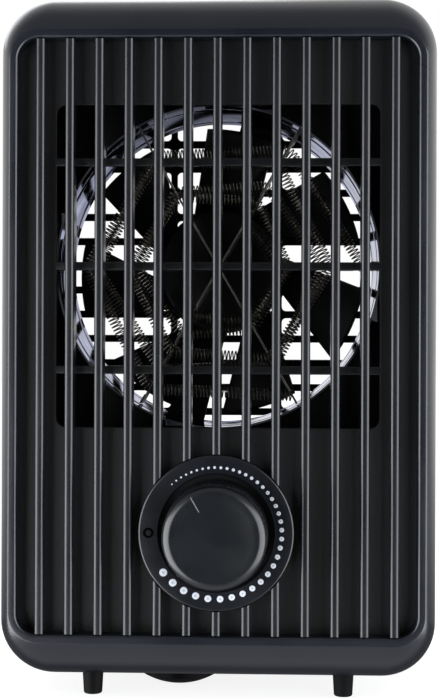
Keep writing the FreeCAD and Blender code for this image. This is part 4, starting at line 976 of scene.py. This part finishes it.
# Shares of a dot's radius and of the ink's thickness, from the top of its dome to below the face.
dome_reaches = np.array([0.0, 0.5, 0.8, 0.95, 1.0, 1.0])
dome_heights = np.array([1.0, 1.0, 0.95, 0.7, 0.3, -0.5])
pit_share, pit_from, pit_lift = 0.36, 0.45, 1.2
off_bearing, off_circle, off_radius, off_half = 270, 27.4 * MM, 1.65 * MM, 0.5 * MM


def dial_place(bearing, reach):
    """Point on the dial's face at a reach from its axis and a bearing, in degrees clockwise from the top."""
    angle = math.radians(bearing)
    return reach * math.sin(angle), front_y, knob_z + reach * math.cos(angle)


def dot(share, scale=1.0, lift=1.0):
    """Low printed dome at a share t of the scale: places spread as even * t + late * t^3, and sizes grow as
    small + growth * t + swell * t^4."""
    bearing = dot_first + dot_sweep * (dot_even * share + dot_late * share ** 3)
    radius = scale * (dot_small + dot_growth * share + dot_swell * share ** 4) / 2
    profile = np.stack([radius * dome_reaches, -lift * ink_thick * dome_heights], axis=-1)
    return turned(profile, "y", dial_place(bearing, dot_circle), steps=20)


shares = np.linspace(0, 1, dot_count)
piece("dial_dots", [dot(share) for share in shares], extras["pale_ink"])
piece("dot_pits", [dot(share, pit_share, pit_lift) for share in shares if share > pit_from],
      extras["pit_ink"])
full_circle = arc((0, 0), 1.0, 0, 360, steps=12)[:-1]
off_section = full_circle * np.array([off_half, ink_thick]) + np.array([off_radius, 0])
off_ring = turned(off_section, "y", dial_place(off_bearing, off_circle), steps=40)
piece("off_ring", [looped(off_ring)], extras["black_ink"])

# %% [markdown]
# The knob is turned too: a slightly drafted side, a round shoulder and a dished face, hollow behind with a
# boss for the shaft. A bevelled cylinder would have no dish. The depth of the face is a function of the
# reach from the axis, so that the pointer can follow it.

# %% Knob
knob_low, knob_high = span("knob")
knob_radius = (knob_high - knob_low)[0] / 2
knob_draft, knob_shoulder, knob_dish = 0.6 * MM, 3.5 * MM, 1.0 * MM
knob_wall, knob_top_wall, knob_boss, knob_rim_round = 2.2 * MM, 3.0 * MM, 6 * MM, 0.4 * MM
knob_top, knob_rim = knob_low[1] - front_y, knob_high[1] - front_y
face_radius = knob_radius - knob_draft - knob_shoulder
dish_radius = (face_radius ** 2 + knob_dish ** 2) / (2 * knob_dish)
shaft_radius = 3.05 * MM
boss_end = 4 * MM
FACE_ROWS, SHOULDER_ROWS = 10, 12


def face_depth(reach):
    """Depth of the knob's face: a shallow dish out to the face radius, then the round of the shoulder."""
    sag = dish_radius - np.sqrt(dish_radius ** 2 - np.minimum(reach, face_radius) ** 2)
    out = np.clip(reach - face_radius, 0, knob_shoulder)
    return knob_top + knob_dish - sag + knob_shoulder - np.sqrt(knob_shoulder ** 2 - out ** 2)


def knob_profile():
    """Closed profile (radius, depth): face, shoulder, side, rim, hollow and boss."""
    face = np.linspace(0, face_radius, FACE_ROWS)
    shoulder = face_radius + knob_shoulder * np.sin(np.radians(np.linspace(0, 90, SHOULDER_ROWS)))[1:]
    outer = np.concatenate([face, shoulder])
    ceiling = knob_top + knob_dish + knob_top_wall
    inside = np.array([
        [knob_radius, knob_rim - knob_rim_round], [knob_radius - knob_rim_round, knob_rim],
        [knob_radius - knob_wall, knob_rim], [face_radius, ceiling], [knob_boss, ceiling],
        [knob_boss, boss_end], [shaft_radius, boss_end], [shaft_radius, ceiling], [0, ceiling]])
    return np.concatenate([np.stack([outer, face_depth(outer)], axis=-1), inside])


piece("knob_cap", [turned(knob_profile(), "y", dial_axis, steps=128)],
      finishes["knob_plastic"], body="knob_shaft", stands_for=["knob"])

# %% [markdown]
# The pointer is a groove in the knob, and its thin grey line is a painted highlight: the light that the
# groove catches. As a pattern in the shader it would blur at this size, so it is a low grey ridge that
# follows the face over the edge of the shoulder and turns with the knob.

# %% Pointer line
pointer_bearing = math.radians(-29.4)
pointer_start, pointer_end = 12 * MM, 18.8 * MM
pointer_wide, pointer_high, pointer_sink = 0.4 * MM, 0.04 * MM, 0.25 * MM
pointer_taper = 8
POINTER_ROWS, POINTER_COLUMNS = 14, 7


def pointer():
    """Low ridge along a radius of the knob: it rises from the face as 1 - u^4, less at its two ends, and
    no higher than the knob."""
    reach = np.linspace(pointer_start, pointer_end, POINTER_ROWS)[:, None]
    across = np.linspace(-1, 1, POINTER_COLUMNS)[None, :]
    ends = np.clip(pointer_taper * np.sin(np.linspace(0, np.pi, POINTER_ROWS)), 0, 1)[:, None]
    depth = np.maximum(face_depth(reach) - pointer_high * (1 - across ** 4) * ends, knob_top)
    side = across * pointer_wide / 2
    x = reach * math.sin(pointer_bearing) + side * math.cos(pointer_bearing)
    z = knob_z + reach * math.cos(pointer_bearing) - side * math.sin(pointer_bearing)
    top = np.stack([x, front_y + depth, z], axis=-1)
    under = top[:, ::-1] + np.array([0, pointer_sink, 0])
    return capped(np.concatenate([top, under], axis=1))


# The ridge's grey is a painted highlight of the pointer groove.
piece("knob_pointer", [pointer()], extras["pointer_highlight_paint"], body="knob_shaft")

# %% [markdown]
# The element is resistance wire wound into a fine helix, strung in hexagons over the six mica spokes.
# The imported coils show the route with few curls, and here the same route gets the real fine pitch. A
# Screw modifier winds about a straight axis only. So the corners are rounded with arcs, points are spread
# evenly along the line, and a helix is worked out round it.

# %% Heating coils
coil_radius, wire_radius, coil_pitch = 2.2 * MM, 0.28 * MM, 1.5 * MM
coil_start, coil_step, coil_spokes, coil_bend = 23.15 * MM, 2.95 * MM, 13, 6 * MM
SPOKE_DEGREES = 60
STEPS_PER_TURN, WIRE_SIDES, BEND_STEPS = 12, 5, 8


def unit(vectors):
    """The same directions with length one."""
    return vectors / np.linalg.norm(vectors, axis=-1, keepdims=True)


def wire_tube(line, outward, radius, sides):
    """Closed tube along a line: line + radius * (outward * cos + binormal * sin), square to the wire."""
    binormal = unit(np.cross(unit(np.gradient(line, axis=0)), outward))
    angle = np.linspace(0, TURN, sides, endpoint=False)[None, :, None]
    ring = outward[:, None] * np.cos(angle) + binormal[:, None] * np.sin(angle)
    return capped(line[:, None] + radius * ring)


def hexagon_route(first, way):
    """Line (x, z) over the spokes, one corner for each sixth of a turn, corners rounded by arcs."""
    step = np.arange(coil_spokes + 1)
    angle = np.radians(SPOKE_DEGREES * (first + way * step))
    corner = (coil_start + coil_step * step)[:, None] * np.stack([np.cos(angle), np.sin(angle)], axis=-1)
    ahead = unit(np.diff(corner, axis=0))
    into, out = ahead[:-1], ahead[1:]
    turn = np.arccos(np.sum(into * out, axis=-1, keepdims=True))
    begin = corner[1:-1] - into * coil_bend * np.tan(turn / 2)
    side = unit(out - into * np.cos(turn))
    sweep = turn[:, None] * np.linspace(0, 1, BEND_STEPS + 1)[None, :, None]
    bend = (begin + side * coil_bend)[:, None] + coil_bend * (
        into[:, None] * np.sin(sweep) - side[:, None] * np.cos(sweep))
    return np.concatenate([corner[:1], bend.reshape(-1, 2), corner[-1:]])


def coil(first, way, depth_y):
    """Wire round a helix: route + radius * (side * cos + back * sin), at an even pitch along the route."""
    route = hexagon_route(first, way)
    along = np.concatenate([[0], np.cumsum(np.linalg.norm(np.diff(route, axis=0), axis=-1))])
    turns = round(along[-1] / coil_pitch)
    share = np.linspace(0, 1, turns * STEPS_PER_TURN + 1)
    line = np.stack([np.interp(share * along[-1], along, route[:, axis]) for axis in (0, 1)], axis=-1)
    ahead = unit(np.gradient(line, axis=0))
    phase = TURN * turns * share[:, None]
    back = np.array([0.0, 1.0, 0.0])
    side = np.stack([-ahead[:, 1], np.zeros(len(ahead)), ahead[:, 0]], axis=-1)
    outward = side * np.cos(phase) + back * np.sin(phase)
    spine = np.stack([line[:, 0], np.full(len(line), depth_y), duct_z + line[:, 1]], axis=-1)
    return wire_tube(spine + coil_radius * outward, outward, wire_radius, WIRE_SIDES)


for label, first_spoke, way in (("heating_coil_front", 4, 1), ("heating_coil_rear", 1, -1)):
    piece(label.replace("heating", "fine"), [coil(first_spoke, way, middle(label)[1])],
          finishes["heating_wire"], stands_for=[label])

# %% [markdown]
# The duct is a ring of bright sheet. Two shallow beads are rolled into it for stiffness. They could be
# pushed out by hand, but where the radius grows by a raised cosine along the depth, both skins follow it
# alike. Four front tabs meet the panel's bosses, two rear ones the motor strap.

# %% Duct ring
ring_front, ring_back = (span("duct_ring")[end][1] - front_y for end in (0, 1))
duct_radius, sheet = 66 * MM, 0.8 * MM
bead_depths, bead_half, bead_high = (22 * MM, 54 * MM), 2.4 * MM, 0.8 * MM
tab_reach, tab_wide, tab_round = 4 * MM, 12 * MM, 1.5 * MM
tab_front = panel_back + boss_high
RING_ROWS = 90


def ring_profile():
    """Closed profile (radius, depth) of the sheet, both of whose skins follow the beads."""
    depth = np.linspace(ring_front, ring_back, RING_ROWS)
    bead = sum(np.cos(np.pi * np.clip((depth - centre) / bead_half, -1, 1)) + 1 for centre in bead_depths)
    inner = duct_radius + bead_high / 2 * bead
    skin = np.stack([inner, depth], axis=-1)
    return np.concatenate([skin, skin[::-1] + np.array([sheet, 0])])


def spun(grid, angle):
    """Grid turned about the duct's axis, from +X towards +Z."""
    x, y, z = np.moveaxis(grid, -1, 0)
    return np.stack([x * math.cos(angle) - (z - duct_z) * math.sin(angle), y,
                     duct_z + x * math.sin(angle) + (z - duct_z) * math.cos(angle)], axis=-1)


def tab(angle, depth):
    """Flat tab that leaves the ring outwards, with rounded corners."""
    near, far = duct_radius + sheet / 2, tab_circle + tab_reach
    plate = rounded_rectangles(far - near, tab_wide, tab_round, np.array([depth, depth + sheet]),
                               (near + far) / 2, duct_z, steps=4)
    return spun(capped(plate), angle)


ring_tabs = [tab(angle, tab_front) for angle in quarters]
ring_tabs += [tab(angle, ring_back - sheet) for angle in quarters[::2]]
ring = looped(turned(ring_profile(), "y", (0, front_y, duct_z), steps=180))
piece("beaded_ring", [ring] + ring_tabs,
      finishes["duct_steel"], stands_for=["duct_ring"])

# %% [markdown]
# A fan blade is a straight loft between two cambered sections, one inside the hub and one past the tip,
# which is turned on about the axle. A boolean could trim it at the hub's wall and the tip circle, but each
# line of the loft can be cut exactly: the square of its distance from the axle is a quadratic in the
# share along the line, so both cuts are roots.

# %% Fan blades
fan_y = middle("fan")[1]
fan_radius, hub_radius, hub_wall = 62 * MM, 27 * MM, 2 * MM
blade_count, blade_phase, blade_sweep = 7, math.radians(39.8), math.radians(22.5)
blade_camber, blade_half_thick = 2.4 * MM, 0.8 * MM
root_reach, root_chord, root_pitch = 25 * MM, 19.2 * MM, math.radians(44)
tip_reach, tip_chord, tip_pitch = 64 * MM, 37.9 * MM, math.radians(19)
SECTION_POINTS, SPAN_ROWS = 36, 14


def swept(points, angle):
    """Points turned about the axle, clockwise seen from the front."""
    x, y, z = np.moveaxis(points, -1, 0)
    cos, sin = math.cos(angle), math.sin(angle)
    return np.stack([x * cos + z * sin, y, z * cos - x * sin], axis=-1)


def blade_section(reach, chord, pitch):
    """Cambered section: camber * (1 - u^2) with a skin of +-thick * sqrt(1 - u^8), turned by its pitch."""
    angle = np.linspace(0, TURN, SECTION_POINTS, endpoint=False)
    u = np.cos(angle)
    along = u * chord / 2
    skin = np.sign(np.sin(angle)) * np.sqrt(np.clip(1 - u ** 8, 0, 1))
    across = blade_camber * (1 - u ** 2) + blade_half_thick * skin
    return np.stack([along * math.cos(pitch) - across * math.sin(pitch),
                     along * math.sin(pitch) + across * math.cos(pitch), np.full(len(u), reach)], axis=-1)


def meets(start, step, radius):
    """Share of each line start + t * step at which its distance from the axle is the radius."""
    flat_start, flat_step = start[:, [0, 2]], step[:, [0, 2]]
    a, b = (flat_step ** 2).sum(axis=-1), (flat_start * flat_step).sum(axis=-1)
    c = (flat_start ** 2).sum(axis=-1) - radius ** 2
    return (np.sqrt(b ** 2 - a * c) - b) / a


def blade(turn):
    """One blade: lines between root and tip sections, cut at the hub's wall and at the tip circle."""
    root = blade_section(root_reach, root_chord, root_pitch)
    step = swept(blade_section(tip_reach, tip_chord, tip_pitch), blade_sweep) - root
    low, high = meets(root, step, hub_radius - hub_wall / 2), meets(root, step, fan_radius)
    share = low + (high - low) * np.linspace(0, 1, SPAN_ROWS)[:, None]
    return swept(capped(root + share[..., None] * step), turn) + np.array([0, fan_y, duct_z])


blade_turns = blade_phase + np.arange(blade_count) * TURN / blade_count
blades = [blade(turn) for turn in blade_turns]
print(len(blades), "blades of", blades[0].shape[:2], "rows and columns")

# %% [markdown]
# The hub is a cup, open behind, with a boss for the axle. It could be a hollowed cylinder, but turned from
# one profile it has its rounded front, thin wall and boss at once. The blades start inside its wall, so
# no gap shows.

# %% Fan wheel
fan_half = (span("fan")[1][1] - span("fan")[0][1]) / 2
hub_round, hub_boss, axle_bore = 2.5 * MM, 4.5 * MM, 1.65 * MM
hub_inner, hub_floor = hub_radius - hub_wall, hub_wall - fan_half
hub_profile = np.concatenate([
    [[0, -fan_half]], arc((hub_radius - hub_round, hub_round - fan_half), hub_round, 270, 360, steps=6),
    [[hub_radius, fan_half], [hub_inner, fan_half], [hub_inner, hub_floor], [hub_boss, hub_floor],
     [hub_boss, fan_half], [axle_bore, fan_half], [axle_bore, hub_floor], [0, hub_floor]]])
hub = turned(hub_profile, "y", (0, fan_y, duct_z))
piece("fan_wheel", [hub] + blades, finishes["fan_plastic"], body="fan_rotor",
      stands_for=["fan"])

# %% [markdown]
# The heater stands on four rubber pegs. Cylinders would do for a first look, but a turned profile gives a
# peg its flat sole, rounded rim, slight taper and the spigot that holds it in the base.

# %% Feet
foot_radius, foot_taper, foot_round = 4.4 * MM, 0.5 * MM, 0.9 * MM
foot_spigot = 2.5 * MM


def foot_profile(height, top):
    """Profile (radius, height): flat sole, rounded rim, tapered side, shoulder and spigot."""
    low = foot_radius - foot_taper
    sole = arc((low - foot_round, foot_round), foot_round, 270, 360, steps=6)
    return np.concatenate([[[0, 0]], sole, [[foot_radius, height], [foot_spigot, height],
                                            [foot_spigot, top], [0, top]]])


for place in ("front_left", "front_right", "rear_left", "rear_right"):
    foot_x, foot_y = middle(f"foot_{place}")[:2]
    profile = foot_profile(base_z, span(f"foot_{place}")[1][2])
    piece(f"peg_{place}", [turned(profile, "z", (foot_x, foot_y, 0), steps=48)],
          finishes["foot_rubber"], stands_for=[f"foot_{place}"])

# %% [markdown]
# The smooth dome of the tip-over button rests on the floor under the base. A ball would have to be cut to
# fit, so the dome is an arc of a profile that goes on with the side, the flange that stops it inside the
# case, and the stem.

# %% Tip-over button
dome_radius = 31 * MM
stem_radius, stem_top = 4 * MM, span("tip_plunger")[1][2]
flange_low, flange_thick, flange_reach = 17.8 * MM, 2 * MM, 2 * MM


def button_profile():
    """Profile (radius, height): domed sole, side, flange inside the case and stem."""
    lean = math.degrees(math.asin(plunger_radius / dome_radius))
    dome = arc((0, dome_radius), dome_radius, 270, 270 + lean, steps=14)
    flange, flange_high = plunger_radius + flange_reach, flange_low + flange_thick
    rest = [[plunger_radius, flange_low], [flange, flange_low], [flange, flange_high],
            [stem_radius, flange_high], [stem_radius, stem_top], [0, stem_top]]
    return np.concatenate([dome, rest])


piece("tip_button_dome", [turned(button_profile(), "z", (plunger_x, plunger_y, 0))],
      finishes["button_plastic"], body="tip_button", stands_for=["tip_plunger"])

# %% [markdown]
# The button's spring is a helix whose end turns lie flat. On one body alone it would tear from the other,
# so it is left on no body.

# %% Button spring
spring_low, spring_high = span("tip_spring")
spring_wire, spring_turns = 0.5 * MM, 7
SPRING_STEPS, SPRING_SIDES = 32, 8
spring_radius = (spring_high - spring_low)[0] / 2 - spring_wire


def spring():
    """Helix that rises evenly between its first and its last turn, which lie flat."""
    share = np.linspace(0, 1, spring_turns * SPRING_STEPS + 1)[:, None]
    ease = np.clip((share * spring_turns - 1) / (spring_turns - 2), 0, 1)
    phase = TURN * spring_turns * share
    outward = np.concatenate([np.cos(phase), np.sin(phase), np.zeros(share.shape)], axis=1)
    height = spring_low[2] + spring_wire + (spring_high[2] - spring_low[2] - 2 * spring_wire) * ease
    axis = np.full((len(share), 2), (plunger_x, plunger_y))
    centre = np.concatenate([axis, height], axis=1)
    return wire_tube(centre + spring_radius * outward, outward, spring_wire, SPRING_SIDES)


coil_spring = piece("coil_spring", [spring()], finishes["screw_steel"], body=None,
                    stands_for=["tip_spring"])
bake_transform(coil_spring)

# %% [markdown]
# The floor is one large pale disc. Only the camera sees it, from above, so the heater stands in plain
# white, and the light boxes can reach below its level as they do round a raised table.

# %% Floor
floor_inner, floor_radius = 0.5, 6.0
floor_glow, floor_grey, floor_rough = 0.86, 0.25, 0.8
floor_rings = [(0, 0), (floor_inner, 0), (floor_radius, 0)]
floor_mesh = sew("floor", [turned(floor_rings, "z", (0, 0, 0), steps=64)])
floor = bpy.data.objects.new("floor", floor_mesh)
scene.collection.objects.link(floor)
floor_paint = bpy.data.materials.new("pale_floor")
floor_paint.use_nodes = True
paint = floor_paint.node_tree
floor_shader = paint.nodes["Principled BSDF"]
floor_shader.inputs["Base Color"].default_value = (floor_grey, floor_grey, floor_grey, 1)
floor_shader.inputs["Roughness"].default_value = floor_rough
floor_shader.inputs["Emission Color"].default_value = (1, 1, 1, 1)
floor_shader.inputs["Emission Strength"].default_value = floor_glow
one_sided = node(paint, "MixShader")
paint.links.new(node(paint, "NewGeometry").outputs["Backfacing"], one_sided.inputs[0])
paint.links.new(floor_shader.outputs["BSDF"], one_sided.inputs[1])
paint.links.new(node(paint, "BsdfTransparent").outputs["BSDF"], one_sided.inputs[2])
paint.links.new(one_sided.outputs["Shader"], paint.nodes["Material Output"].inputs["Surface"])
floor_mesh.materials.append(floor_paint)
floor.visible_diffuse = floor.visible_glossy = floor.visible_shadow = False
print("floor radius", floor_radius)
